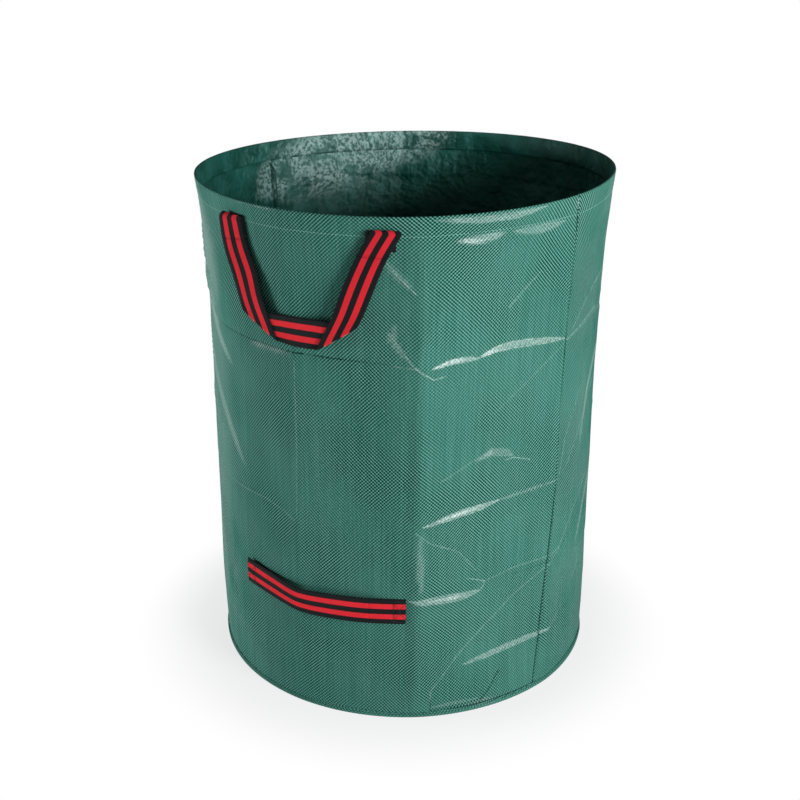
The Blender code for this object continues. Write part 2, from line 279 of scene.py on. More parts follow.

# A ridge: how far it stands out, its reach on its left and on its right, all in mm, and its route.
# A ledge: its width and its fall below, in mm, the strength of the painted highlight on it, and its route.
RIDGES = [
    (4.0, 34, 70, [(27.0, 10), (27.0, 200), (27.2, 450), (29.0, 560), (34.2, 625), (38.4, 692), (40.0, 725)]),
    (-2.4, 7, 8, [(27.2, 20), (27.0, 200), (27.2, 450), (29.0, 560)]),
    (2.6, 40, 9, [(-96, 596), (-80, 602), (-62, 598), (-44, 582)]),
    (-1.7, 2.5, 7, [(-62, 556), (-41, 553), (-26, 556), (-7, 561), (3, 557), (11, 560), (21, 558)]),
    (-1.5, 2.0, 5, [(-1, 561), (4, 558), (11, 561), (19, 561)]),
    (1.4, 2.5, 3, [(22, 697), (25, 676), (29, 652), (33, 640)]),
    (1.3, 2.0, 2.5, [(25, 585), (29.4, 550), (31, 545), (36, 549)]),
    (-1.4, 2.5, 8, [(-62, 300), (-46, 313), (-30, 318), (-15, 321), (-8, 314), (-3, 303)]),
    (0.9, 4.0, 6, [(-3, 303), (8, 316), (18, 327), (29, 317)]),
    (-1.3, 3.0, 5, [(31, 311), (36, 286), (42, 262), (50, 226)]),
    (1.2, 2.5, 4, [(49.5, 205), (60, 216), (78, 217), (92, 216)]),
    (0.9, 3.0, 3, [(46, 150), (58, 170), (66, 195), (70, 225)]),
    (-1.2, 3.0, 3, [(75, 91), (82, 100), (92, 128), (104, 150)]),
    (1.0, 3.0, 3, [(34, 60), (38, 90), (46, 120), (58, 160)]),
    (-1.5, 2.0, 2, [(34.3, 6), (34.3, 52)]),
    (-1.6, 2.5, 2.5, [(48.6, 5), (52, 21), (56.2, 54)]),
    (-1.2, 3.0, 3, [(75, 337), (84, 352), (96, 398), (104, 440)]),
    (1.5, 4.0, 4, [(74, 556), (82, 590), (92, 604), (104, 622)]),
    (1.4, 4.0, 3, [(76, 400), (84, 440), (95, 510), (103, 555)]),
    (-1.8, 4.0, 7, [(-72, 640), (-58, 628), (-46, 604), (-38, 560)]),
    (1.6, 5.0, 5, [(-66, 700), (-60, 660), (-54, 610), (-50, 556)]),
    (1.5, 5.0, 4, [(-60, 545), (-52, 490), (-44, 420), (-40, 380)]),
    (-1.3, 4.0, 4, [(-70, 420), (-58, 380), (-48, 345), (-44, 312)]),
    (1.3, 4.0, 4, [(-58, 300), (-50, 240), (-44, 180), (-42, 120)]),
    (-1.0, 3.0, 5, [(-40, 205), (-20, 199), (0, 196), (20, 197)]),
    (0.9, 3.0, 5, [(-55, 84), (-30, 78), (-5, 82), (20, 74)]),
    (1.2, 2.5, 2.5, [(55, 622), (60, 648), (66, 672)]),
    (1.0, 2.5, 2.5, [(52, 470), (60, 520), (70, 548)]),
    (1.0, 2.5, 2.5, [(58, 395), (64, 440), (71, 470)]),
]
LEDGES = [
    (6.0, 26, 0.95, [(33, 548), (37.5, 554), (42, 555), (45.5, 552.5)]),
    (8.0, 32, 0.95, [(45.3, 552.5), (50.4, 561), (56, 564), (62, 562), (67, 560), (73, 557)]),
    (4.0, 20, 0.2, [(73.5, 553), (84, 557), (97, 566), (110, 560)]),
    (7.5, 30, 0.95, [(31.5, 314), (38, 321), (43, 325), (48, 327), (54, 331)]),
    (4.0, 20, 0.2, [(52.5, 330), (60, 334), (66, 337), (74, 341)]),
    (9.0, 18, 0.40, [(46, 400), (51, 410), (56, 404), (58, 397)]),
    (9.0, 20, 0.75, [(28, 196), (33, 193), (38, 191.5), (44, 190.5), (49, 192)]),
    (6.0, 22, 0.75, [(44, 74), (50, 79), (57.5, 84), (66, 89), (74.9, 91)]),
    (3.0, 6, 0.3, [(34.5, 13), (41, 14), (48.6, 13)]),
    (11.0, 14, 0.7, [(38, 723), (44, 722), (50, 727)]),
    (11.0, 14, 0.45, [(52, 727), (60, 724), (68, 728)]),
    (8.0, 8, 0.65, [(33, 754), (44, 750), (52, 751), (60, 756)]),
]

# Broad streaks of painted sheen and painted glints, pale without a step: width, shine and route
SHEEN_STREAKS = [
    (18, 0.42, [(-64, 590), (-46, 548), (-30, 500)]),
    (20, 0.36, [(-60, 540), (-42, 440), (-24, 350)]),
    (150, 0.26, [(-62, 790), (-56, 700), (-52, 620), (-54, 540)]),
    (150, 0.13, [(-54, 640), (-48, 480), (-46, 330), (-52, 60)]),
    (12, 0.22, [(-66, 300), (-50, 240), (-44, 170)]),
    (13, 0.30, [(106, 520), (96, 440), (92, 360)]),
    (11, 0.26, [(108, 330), (98, 250), (92, 190)]),
    (10, 0.26, [(31.5, 205), (30.8, 250), (30.5, 305)]),
    (8, 0.34, [(24, 612), (23.4, 588), (27, 560)]),
    (8, 0.30, [(21.5, 700), (25, 676), (28, 660)]),
]

# Where the film inside gets a painted silvery glint below the rim: the same measures. Places round the bag
# run from
# TURN_START for one turn, so the streak is given twice, a turn apart.
FILM_GLINT_STREAK = (105, 1.0, [(264, 688), (244, 706), (226, 728), (208, 750), (188, 772)])
TURNS_APART = (0, -360)

# Sharp folds get a fine painted line: a painted highlight on most, and painted shade where a fold is pinched.
# A line: its strength, below zero for a line of painted shade, and its route in the same measure.
PAINTED_CREASE_LINES = [
    (0.70, [(21.8, 699), (25, 676), (28.8, 654)]),
    (0.70, [(22.4, 598), (28.3, 555), (30, 546), (33.5, 532)]),
    (0.50, [(33.5, 532), (36.5, 535)]),
    (0.30, [(23.7, 552), (30, 549)]),
    (0.35, [(73.5, 551), (84, 558), (98, 570)]),
    (0.30, [(54, 618), (59, 644), (63, 662)]),
    (0.35, [(54, 331), (60, 334), (66, 337), (74, 341)]),
    (0.50, [(55, 393.5), (58.5, 393), (63.8, 384)]),
    (0.22, [(36, 378), (41.4, 391), (46.5, 404)]),
    (0.50, [(49, 192), (50.2, 199), (50.5, 205), (45, 216)]),
    (0.25, [(50.5, 205), (60, 216), (78, 219)]),
    (0.30, [(78, 217), (70, 196), (60, 168), (50, 128), (42, 90), (34.5, 42)]),
    (0.35, [(57.5, 85), (74.9, 92)]),
    (0.30, [(34.3, 40), (34.2, 24)]),
    (0.25, [(29.6, 306), (33.5, 286), (42, 262), (47.5, 226)]),
    (0.18, [(52, 470), (60, 500), (72, 546)]),
    (0.22, [(-2, 545), (-2.3, 429), (-3.1, 306)]),
    (0.18, [(-40, 311), (-15, 317), (-8, 310), (-4, 301)]),
    (0.35, [(104, 622), (92, 606), (78, 560)]),
    (0.35, [(96, 511), (84, 440), (78, 400), (75, 345)]),
    (0.30, [(106, 470), (92, 400), (80, 350)]),
    (0.30, [(100, 300), (88, 262), (78, 218)]),
    (0.30, [(98, 160), (86, 112), (76, 92)]),
    (0.30, [(-62, 690), (-52, 640), (-46, 590), (-41, 556)]),
    (0.25, [(-56, 470), (-46, 400), (-40, 340)]),
    (-0.60, [(-66, 574), (-41, 554), (-26, 555), (-6, 557.5)]),
    (-1.00, [(-6, 557.5), (1, 557), (6, 555.5), (11.5, 555)]),
    (-0.40, [(11.5, 555), (21, 554), (27, 551)]),
    (-0.35, [(-66, 296), (-46, 314), (-30, 320), (-20, 321)]),
    (-0.80, [(34.3, 4), (34.3, 26)]),
    (-0.80, [(48.2, 4), (52.2, 21), (56, 50)]),
    (-0.40, [(79, 215), (90, 238), (99, 268)]),
    (-0.35, [(60, 204), (72, 208), (77, 206)]),
]

# The same parcel folds, as they show on the sides that turn away from the camera
BACK_LEVELS = (82, 208, 326, 556, 690)
BACK_FACETS = ((106, 140), (140, 178), (178, 216), (216, 250), (-110, -64))
SCATTERED_CREASES = 110
SCATTER_SEED = 7


def back_marks():
    """Fold marks round the back, and small creases all over, from a seeded draw."""
    draw = random.Random(SCATTER_SEED)
    ridges, ledges = [], []
    for level in BACK_LEVELS:
        for start, end in BACK_FACETS:
            heights = (draw.uniform(-5, 5), draw.uniform(-9, 9), draw.uniform(-5, 5))
            places = (start, (start + end) / 2, end)
            route = [(x, level + h) for x, h in zip(places, heights)]
            if draw.random() < 0.6:
                ledges.append((draw.uniform(3, 8), draw.uniform(15, 30), draw.uniform(0.3, 0.8), route))
            else:
                ridges.append((draw.uniform(-1.8, 1.8), 3.0, draw.uniform(4, 9), route))
    for _ in range(SCATTERED_CREASES):
        azimuth, level = draw.uniform(-115, 250), draw.uniform(20, 715)
        heading = math.radians(draw.choice((35, 50, 125, 145, 90)) + draw.uniform(-15, 15))
        length = draw.uniform(45, 150)
        route = []
        for share in (0, 0.5, 1):
            across = math.cos(heading) * length * share / MM_PER_DEGREE
            route.append((azimuth + across, level + math.sin(heading) * length * share + draw.uniform(-4, 4)))
        out = draw.choice((-1, 1)) * draw.uniform(0.3, 0.8)
        ridges.append((out, draw.uniform(2, 6), draw.uniform(2, 6), route))
    return ridges, ledges


more_ridges, more_ledges = back_marks()
ALL_RIDGES = RIDGES + more_ridges
ALL_LEDGES = LEDGES + more_ledges
print("fold marks:", len(ALL_RIDGES), "ridges and", len(ALL_LEDGES), "ledges")

# %% The standing wall
TURN_START = -125.0

# A mark narrows to nothing at its ends, and a ledge's face and edges get a painted highlight by these shares
# of its shine
TAPER_POWER = 0.6
LEAST_WIDTH = 0.01
EDGE_SHINE = 0.85
FACE_SHINE = 0.72

# A facet stands out by this share of its depth, and the ridges at its ends fall off over these mm
FACET_RISE = 0.036
RIDGE_REACH = 6

# Folds fade towards the rim and the base: over how many metres, and the share left there
RIM_FADE = (0.034, 0.12)
BASE_FADE = (0.014, 0.15)

# This share of a fold's depth comes only on the open wall, and the gain says how soon it is there
OPEN_SHARE = 0.65
OPEN_GAIN = 2.5

# Slow swells all over, in mm: the degrees and the mm for one radian of each, and where it starts
SWELL = 0.45
SWELLS = ((9.0, 61.0, 0.0), (5.3, -43.0, 2.0))

# The hem's stitches draw the cloth in: their level, the depth and its reach, all in mm
HEM_STITCH_LEVEL = 732.5
HEM_DENT = 0.7
HEM_DENT_REACH = 3.5


def one_turn(degrees):
    """The same direction, within one turn from TURN_START."""
    return (degrees - TURN_START) % 360 + TURN_START


def taper_at(share):
    """How wide a mark is at this share of its route: 1 in its middle and 0 at its ends."""
    return np.clip(4 * share * (1 - share), 0, 1) ** TAPER_POWER


def route_frame(across, up, route):
    """Signed distance above a route, in mm, and a taper that is 1 in its middle and 0 at its ends."""
    places = np.array([(x * MM_PER_DEGREE, z) for x, z in route])
    nearest = np.full(across.shape, np.inf)
    signed = np.zeros(across.shape)
    share = np.zeros(across.shape)
    for n, (a, b) in enumerate(zip(places, places[1:])):
        run = b - a
        t = np.clip(((across - a[0]) * run[0] + (up - a[1]) * run[1]) / (run @ run), 0, 1)
        dx, dz = across - a[0] - t * run[0], up - a[1] - t * run[1]
        gap = np.hypot(dx, dz)
        closer = gap < nearest
        nearest = np.where(closer, gap, nearest)
        signed = np.where(closer, np.copysign(gap, run[0] * dz - run[1] * dx), signed)
        share = np.where(closer, (n + t) / (len(places) - 1), share)
    return signed, taper_at(share)


def ridge_depth(across, up, ridge):
    out, left, right, route = ridge
    signed, taper = route_frame(across, up, route)
    return out * taper * np.exp(-np.abs(signed) / np.where(signed > 0, left, right))


def ledge_depth(across, up, ledge):
    width, fall, _, route = ledge
    signed, taper = route_frame(across, up, route)
    local = np.maximum(width * taper, LEAST_WIDTH)
    stepped = np.clip((local / 2 - signed) / local, 0, 1)
    below = np.exp(np.minimum(signed + local / 2, 0) / fall)
    return LEDGE_SLOPE * local * stepped * below


def painted_sheen_marks(across, up, streaks):
    """How bright the painted sheen is: a streak's shine in its middle, and 0 away from all."""
    sheen_paint = np.zeros(across.shape)
    for width, shine, route in streaks:
        signed, taper = route_frame(across, up, route)
        local = np.maximum(width * taper, LEAST_WIDTH)
        face = np.clip(2.0 - np.abs(signed) / local * 3, 0, 1) * np.clip(taper * 1.5, 0, 1)
        sheen_paint = np.maximum(sheen_paint, shine * face)
    return sheen_paint


# Painted highlights on the ledges' faces, at a share of their shine
LEDGE_HIGHLIGHTS = [(width, shine * FACE_SHINE, route) for width, _, shine, route in ALL_LEDGES]
# The painted glint on the film, given a turn apart
film_width, film_shine, film_route = FILM_GLINT_STREAK
FILM_GLINT_STREAKS = [(film_width, film_shine, [(x + apart, z) for x, z in film_route]) for apart in TURNS_APART]


def ledge_edge_highlights(ledge):
    """The two thin painted highlights along a ledge's edges, as lines with their strength."""
    width, _, shine, route = ledge
    lines = []
    for side in (0.5, -0.5):
        edge = []
        for n, (azimuth, level) in enumerate(route):
            taper = float(taper_at(n / (len(route) - 1)))
            edge.append((azimuth, level + side * width * taper))
        lines.append((shine * EDGE_SHINE, edge))
    return lines


def facet_depth(degrees):
    """The flat stretches between the upright folds, and the folds' own edges."""
    ends = sorted((one_turn(fold), flatness) for fold, flatness in FACETS.items())
    last_fold, last_flatness = ends[-1]
    ends = [(last_fold - 360, last_flatness), *ends, (ends[0][0] + 360, 0)]
    radius = WAIST_RADIUS * 1000
    depth = np.zeros(degrees.shape)
    for (first, flatness), (last, _) in zip(ends, ends[1:]):
        half = math.radians(last - first) / 2
        swing = np.radians(degrees - (first + last) / 2)
        flat = radius * (math.cos(half) / np.cos(np.clip(swing, -half, half)) - 1)
        rise = FACET_RISE * radius * (1 - math.cos(half))
        away = np.minimum(degrees - first, last - degrees) * MM_PER_DEGREE
        ridge = UPRIGHT_RIDGE * np.exp(-away / RIDGE_REACH)
        inside = (degrees >= first) & (degrees < last)
        depth += np.where(inside, flatness * flat + rise + ridge, 0)
    return depth


def folds(azimuth, height):
    """All folds together: metres that they move the wall outwards."""
    degrees = one_turn(np.degrees(azimuth))
    across, up = degrees * MM_PER_DEGREE, height * 1000
    depth = facet_depth(degrees)
    depth += RIDGE_GAIN * sum(ridge_depth(across, up, ridge) for ridge in ALL_RIDGES)
    depth += sum(ledge_depth(across, up, ledge) for ledge in ALL_LEDGES)
    (rim_reach, rim_share), (base_reach, base_share) = RIM_FADE, BASE_FADE
    fade = np.clip((HEIGHT - height) / rim_reach, rim_share, 1)
    fade = fade * np.clip(height / base_reach + base_share, 0, 1)
    broad = np.clip(np.sin(np.pi * np.clip(height / HEIGHT, 0, 1)) * OPEN_GAIN, 0, 1)
    fade = fade * (1 - OPEN_SHARE + OPEN_SHARE * broad)
    hem = HEM_DENT * np.exp(-np.abs(up - HEM_STITCH_LEVEL) / HEM_DENT_REACH)
    swell = SWELL * sum(np.sin(degrees / turn + up / rise + start) for turn, rise, start in SWELLS)
    return (depth * fade + swell * broad - hem) / 1000


def standing(azimuth, height, out=0.0, folded=True):
    """Where a place of the plain wall lies on the standing bag, moved outwards by out."""
    azimuth, height, out = np.broadcast_arrays(*(np.asarray(v, float) for v in (azimuth, height, out)))
    turn = azimuth - CAMERA_AZIMUTH
    lift = np.clip(height / HEIGHT, 0, None)
    pull = lift**PULL_POWER
    rear = np.clip(-np.cos(turn), 0, None) ** 2
    shape = pull * (lobes(turn, MOUTH_LOBES) + REAR_DRAW * rear)
    shape = shape + (1 - lift) * lobes(turn, BASE_LOBES) + WAIST_DRAW * np.sin(np.pi * lift)
    shape = shape + np.exp(-height / FOOT_REACH) * lobes(turn, FOOT_LOBES)
    radius = plain_radius(height) * (1 + shape) + out
    if folded:
        radius = radius + folds(azimuth, height)
    right = radius * np.sin(turn) + LEAN[0] * lift
    away = -radius * np.cos(turn) + LEAN[1] * lift
    up = height + pull * (TIP[0] * right + TIP[1] * away + REAR_RISE * rear)
    up = up + np.clip(lift, 0, 1.1) ** RIM_WAVE_POWER * lobes(turn, RIM_WAVES)
    c, s = math.cos(CAMERA_AZIMUTH), math.sin(CAMERA_AZIMUTH)
    return np.stack([right * c - away * s, right * s + away * c, up], -1)


print("mouth:", (standing(np.radians([-64, 116]), HEIGHT)[:, :2]).round(3).tolist())

# %% [markdown]
# ## Cloth from grids and rings
# Woven cloth is a grid, so a grid is the right start for a panel or a strap: columns across it, rows along
# it. A band that runs all round is a section spun about the bag's axis. Both are made in the plain shape
# first, and then each point goes to its place on the standing bag. The UV map keeps the metres of flat
# cloth, because a weave has to follow the cloth and not the room.

# %% Grids and rings
RING_STEPS = 240


def link_mesh(name, bm, materials):
    mesh = bpy.data.meshes.new(name)
    bm.to_mesh(mesh)
    bm.free()
    for material in materials:
        mesh.materials.append(material)
    mesh.shade_smooth()
    obj = bpy.data.objects.new(name, mesh)
    bpy.context.scene.collection.objects.link(obj)
    return obj


def shaped_grid(name, points, metres, materials, material_of=None):
    """A grid whose point in column c and row r lies at points[c, r], with metres[c, r] as its UV."""
    columns, rows = points.shape[:2]
    bm = bmesh.new()
    bmesh.ops.create_grid(bm, x_segments=columns - 1, y_segments=rows - 1, size=0.5)
    map_layer = bm.loops.layers.uv.new(CLOTH_MAP)
    where = {v: (round((v.co.x + 0.5) * (columns - 1)), round((v.co.y + 0.5) * (rows - 1))) for v in bm.verts}
    for face in bm.faces:
        for loop in face.loops:
            loop[map_layer].uv = metres[where[loop.vert]]
        if material_of:
            face.material_index = material_of(max(where[v][1] for v in face.verts))
    for vert, place in where.items():
        vert.co = points[place]
    return link_mesh(name, bm, materials)


def lengths_along(places):
    """The length from the first of these places to each of them."""
    return np.concatenate([[0], np.cumsum(np.linalg.norm(np.diff(places, axis=0), axis=1))])


def grid_places(obj, shape):
    """Row and column indexes of a grid's vertices, which create_grid makes row after row."""
    rows, columns = divmod(np.arange(len(obj.data.vertices)), shape[0])
    return columns, rows


def spun_ring(name, section, material):
    """A closed section of (radius, height) points, spun into a ring and set on the standing bag."""
    bm = bmesh.new()
    verts = [bm.verts.new((0, -radius, height)) for radius, height in section]
    edges = [bm.edges.new(pair) for pair in zip(verts, verts[1:] + verts[:1])]
    bmesh.ops.spin(bm, geom=verts + edges, axis=(0, 0, 1), angle=math.tau, steps=RING_STEPS, use_merge=True)
    bmesh.ops.recalc_face_normals(bm, faces=bm.faces)
    map_layer = bm.loops.layers.uv.new(CLOTH_MAP)
    for face in bm.faces:
        middle = face.calc_center_median()
        facing = math.atan2(middle.x, -middle.y)
        for loop in face.loops:
            co = loop.vert.co
            swing = (math.atan2(co.x, -co.y) - facing + math.pi) % math.tau - math.pi
            loop[map_layer].uv = ((facing + swing) * BASE_RADIUS, co.z - co.xy.length)
    plain = np.array([v.co for v in bm.verts])
    azimuths = np.arctan2(plain[:, 0], -plain[:, 1])
    outs = np.hypot(plain[:, 0], plain[:, 1]) - plain_radius(plain[:, 2])
    for vert, place in zip(bm.verts, standing(azimuths, plain[:, 2], outs)):
        vert.co = place
    return link_mesh(name, bm, [material])


def thicken(obj, thickness, offset, inner=0):
    shell = obj.modifiers.new("thickness", "SOLIDIFY")
    shell.thickness = thickness
    shell.offset = offset
    shell.material_offset = inner
    return obj


def place_on(obj, body, slot, *nodes):
    """The piece rides on this body and stands for these solids. The slot is not used."""
    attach(obj, body)
    if nodes:
        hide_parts(*nodes)
    return obj


print("grids and rings: ready")

# %% [markdown]
# ## Woven tape
# The cloth is a plain weave of flat plastic tapes, 2.6 mm wide, under a thin clear coat. Over and under
# alternate, so one sine across times one along gives the pattern: high where a tape passes over, low
# where the next one dives and leaves a dark gap. Slow noise makes the weave show more in some places.

# %% Woven finish
TAPE_PAIR = 0.0052
# Attributes that hold the painted sheen and the painted glint
PAINTED_SHEEN = "sheen_paint"
GLINT = "glint"
# The colours of the painted highlights and of the painted shade in pinched creases
PAINTED_HIGHLIGHT_WHITE = (0.50, 0.66, 0.61)
PAINTED_CREASE_SHADE = (0.001, 0.014, 0.010)
LINE_REACH = 0.0017
WALL_FOOT = 0.0016
FIRST_SEAM = math.radians(-107)
TAPE_GREEN = (0.034, 0.158, 0.121)
TAPE_LIGHT = (0.165, 0.400, 0.345)
GAP_GREEN = (0.002, 0.026, 0.018)


def wall_across(degrees):
    """Metres across the flat wall cloth at this azimuth. Both panels count from the seam at the left."""
    return (np.radians(degrees) - FIRST_SEAM) * WAIST_RADIUS


def line_distance(finish, place, route):
    """Metres from a place on the flat cloth to this route."""
    nearest = None
    metres = [(wall_across(x), up / 1000 - WALL_FOOT, 0) for x, up in route]
    for start, end in zip(metres, metres[1:]):
        run = Vector(end) - Vector(start)
        away = finish.node("ShaderNodeVectorMath", {"operation": "SUBTRACT"}, {0: place, 1: start})
        values = {0: away, 1: run / run.length_squared}
        share = finish.node("ShaderNodeVectorMath", {"operation": "DOT_PRODUCT"}, values, "Value")
        along = finish.node("ShaderNodeVectorMath", {"operation": "SCALE"}, {0: run, "Scale": share.within()})
        gap = finish.node("ShaderNodeVectorMath", {"operation": "DISTANCE"}, {0: away, 1: along}, "Value")
        nearest = nearest.smaller(gap) if nearest else gap
    return nearest


def crease_marks(finish, place, lines):
    """The strongest of these lines at each place."""
    marks = None
    for strength, route in lines:
        mark = line_distance(finish, place, route).step(LINE_REACH, 0.0001, 0.0, abs(strength))
        marks = marks.larger(mark) if marks else mark
    return marks


def make_woven_finish(name, strength, lines=()):
    finish = Finish(name, Specular_IOR_Level=0.0, Coat_Roughness=0.18, Coat_IOR=1.35)
    place, across, along = finish.cloth_place()
    turns = math.tau / TAPE_PAIR
    lean = finish.noise(place, 9.0, 2.0).step(0.35, 0.65, 0.30, 0.70)
    rising = ((across - along) * turns).cosine() * lean
    falling = ((across + along) * turns).cosine() * (1 - lean)
    weave = rising - falling
    patches = finish.noise(place, 7.0, 3.0).step(0.36, 0.62, 0.5, 1.0) * strength
    gaps = weave.step(0.20, -0.50) * patches
    crowns = weave.step(0.15, 0.85) * patches * 0.8
    streaks = finish.node("ShaderNodeMapping", None, {"Vector": place, "Scale": (330, 6, 1)})
    tape = finish.noise(streaks, 1.0).step(0.35, 0.65)
    tint = tape * 0.16 + finish.noise(place, 4.0, 2.0).step(0.35, 0.65) * 0.12
    colour = finish.colour(tint, TAPE_GREEN, TAPE_LIGHT)
    colour = finish.colour(crowns, colour, TAPE_LIGHT)
    colour = finish.colour(gaps, colour, GAP_GREEN)
    normal = finish.bump(finish.noise(place, 42.0, 3.0), 0.0012)
    coat = finish.noise(place, 11.0, 3.0).step(0.35, 0.6, 0.0, 0.13)
    # Painted highlights along folds and ledge edges, painted shade in pinched creases, and painted sheen from
    # the panel's points
    if lines:
        fray = finish.noise(place, 260.0, 2.0)
        broken = fray.step(0.40, 0.60, 0.25, 1.0)
        line = crease_marks(finish, place, [line for line in lines if line[0] > 0]) * broken
        painted_shade = crease_marks(finish, place, [line for line in lines if line[0] < 0]) * broken
        sheen_paint = finish.painted(PAINTED_SHEEN)
        shine = sheen_paint * (fray.step(0.3, 0.65, 0.5, 1.0) * (weave * 0.2 + 0.85))
        painted_highlight = line.larger(shine)
        # Painted shade in pinched creases, then painted highlights and sheen over it
        colour = finish.colour(painted_shade, colour, PAINTED_CREASE_SHADE)
        colour = finish.colour(painted_highlight * 0.8, colour, PAINTED_HIGHLIGHT_WHITE)
        normal = finish.bump(line - painted_shade, 0.0008, normal)
        coat = coat.larger(painted_highlight)
    creases = finish.cells(place, 14.0).step(0.0, 0.04)
    normal = finish.bump(creases, 0.0003, normal)
    normal = finish.bump(weave * 0.5 + 0.5, 0.0005, normal)
    rough = finish.noise(place, 14.0, 3.0).step(0.3, 0.7, 0.36, 0.48)
    return finish.wear(Base_Color=colour, Roughness=rough, Coat_Weight=coat, Normal=normal)


WOVEN = make_woven_finish("woven_tape_cloth", 1.0)
ALL_PAINTED_LINES = PAINTED_CREASE_LINES + [line for ledge in LEDGES for line in ledge_edge_highlights(ledge)]
WALL_WOVEN = make_woven_finish("woven_wall_cloth", 1.0, ALL_PAINTED_LINES)
BINDING_CLOTH = make_woven_finish("woven_binding", 0.6)
print("woven finish:", len(WOVEN.node_tree.nodes), "nodes")

# %% [markdown]
# The inside of the cloth is coated with a film, smooth and full of small crumples, so it flashes where
# the cloth outside only shines. Voronoi cells have straight edges, as crumpled film has, and noise breaks
# them up. Below the rim it gets a painted silvery glint in flecks, and the panel's own points say how much.

# %% Film finish
FILM_GREEN = (0.003, 0.088, 0.064)
FILM_LIGHT = (0.028, 0.205, 0.165)
# The colour of the painted glint on the film
FILM_PAINTED_GLINT = (0.46, 0.68, 0.65)
FILM_SHEEN = (0.62, 1.0, 0.94, 1)


def make_film_finish():
    finish = Finish("inner_film", Specular_IOR_Level=0.6, IOR=1.7, Specular_Tint=FILM_SHEEN)
    place, across, along = finish.cloth_place()
    turns = math.tau / TAPE_PAIR
    weave = (across * turns).sine() * (along * turns).sine()
    tint = finish.noise(place, 16.0, 4.0).step(0.4, 0.65)
    colour = finish.colour(tint * 0.6, FILM_GREEN, FILM_LIGHT)
    warped = finish.node("ShaderNodeVectorMath", {"operation": "MULTIPLY_ADD"}, {
        0: finish.noise(place, 9.0, 2.0, out="Color"), 1: (0.05, 0.05, 0.05), 2: place
    })
    crumple = finish.cells(warped, 20.0) + finish.cells(warped, 46.0) * 0.6
    flecks = finish.noise(warped, 190.0, 3.0).step(0.40, 0.58) * 0.75 + 0.10
    islands = finish.noise(warped, 26.0, 4.0, 0.6).step(0.40, 0.52, 0.12, 1.0)
    # A painted glint: silvery flecks in islands, as much as the panel's points say
    glint = finish.painted(GLINT)
    colour = finish.colour(glint * flecks * islands, colour, FILM_PAINTED_GLINT)
    normal = finish.bump(crumple, 0.0045)
    normal = finish.bump(finish.noise(place, 5.0, 2.0), 0.018, normal)
    normal = finish.bump(finish.noise(place, 16.0, 3.0), 0.008, normal)
    normal = finish.bump(finish.noise(place, 150.0, 3.0), 0.0022, normal)
    normal = finish.bump(weave * 0.5 + 0.5, 0.00050, normal)
    rough = finish.noise(place, 30.0, 2.0).step(0.3, 0.7, 0.30, 0.44)
    return finish.wear(Base_Color=colour, Roughness=rough, Normal=normal)


FILM = make_film_finish()
print("film finish:", len(FILM.node_tree.nodes), "nodes")

# %% [markdown]
# ## Wall cloth
# Each of the two wall panels is one sheet: up from the base, over the hoop and down inside as the hem. Its
# side edges turn in at the seams and stand inside as seam allowances. Columns bunch up at the seams and
# rows at the hem's fold, where the cloth bends most. A Solidify modifier then gives the cloth its two
# faces, the outer one woven and the inner one film.

# %% Wall panels
CLOTH = 0.0008
SEAM_LEVEL = 0.45
RIGHT_SEAM = (73.4, 5.0, -6.7, 5.4)
SEAM_ALLOWANCE = 0.011
SEAM_GAP = 0.0009
SEAM_GAPE = (0.0030, 0.535, 0.036)
HEM_DEPTH = 0.031
HEM_FLOOR = HEIGHT - HEM_DEPTH
HEM_PLY = 0.0036
HEM_STITCHED = 0.0019
HEM_INSETS = ((0.0, HEM_PLY), (0.62, HEM_PLY), (0.82, HEM_STITCHED), (1.0, HEM_STITCHED))
HEM_ROWS = 9
HEM_TURNS = np.radians((0, 36, 72, 108, 144, 180))
COLUMN = math.radians(1.0)
ROW = 0.0033
EDGE_COLUMNS = (0.0, 0.0005, 0.0011, 0.0019, 0.0030, 0.0045)
ALLOWANCE_COLUMNS = (1.0, 0.55, 0.12)
SEAM_TURN_IN = 0.0018
SEAM_TURN_WIDTH = 0.0010

# The hem's inner ply lies on the seam allowances and presses them flat, from a little way below it
PRESS_START = 0.002
PRESS_REACH = 0.012
PRESSED = 0.06
PRESSED_IN_HEM = 0.15
TURN_IN_HEM = 0.1


def left_seam(height):
    return np.full_like(height, FIRST_SEAM)


def right_seam(height):
    """The azimuth of the seam at the right, which bows a little backwards above and forwards at the foot."""
    middle, top_lean, top_bow, foot_bow = RIGHT_SEAM
    above = np.clip((height - SEAM_LEVEL) / (HEIGHT - SEAM_LEVEL), 0, None)
    below = np.clip((SEAM_LEVEL - height) / SEAM_LEVEL, 0, None)
    return np.radians(middle + top_lean * above + top_bow * above**2 - foot_bow * below**2)


def hem_profile():
    """Rows of a panel, up the wall and down the hem: heights, distances in from the face, and lengths."""
    fold_radius = HEM_PLY / 2
    rows = [(z, 0.0) for z in np.arange(WALL_FOOT, HEIGHT - 1.5 * fold_radius, ROW)]
    for turn in HEM_TURNS:
        height = HEIGHT - fold_radius * (1 - math.sin(turn))
        rows.append((height, fold_radius * (1 - math.cos(turn))))
    for share in np.linspace(0, 1, HEM_ROWS + 1)[1:]:
        inwards = np.interp(share, *zip(*HEM_INSETS))
        rows.append((HEIGHT - fold_radius - (HEM_DEPTH - fold_radius) * share, inwards))
    rows = np.array(rows)
    return rows[:, 0], rows[:, 1], lengths_along(rows)


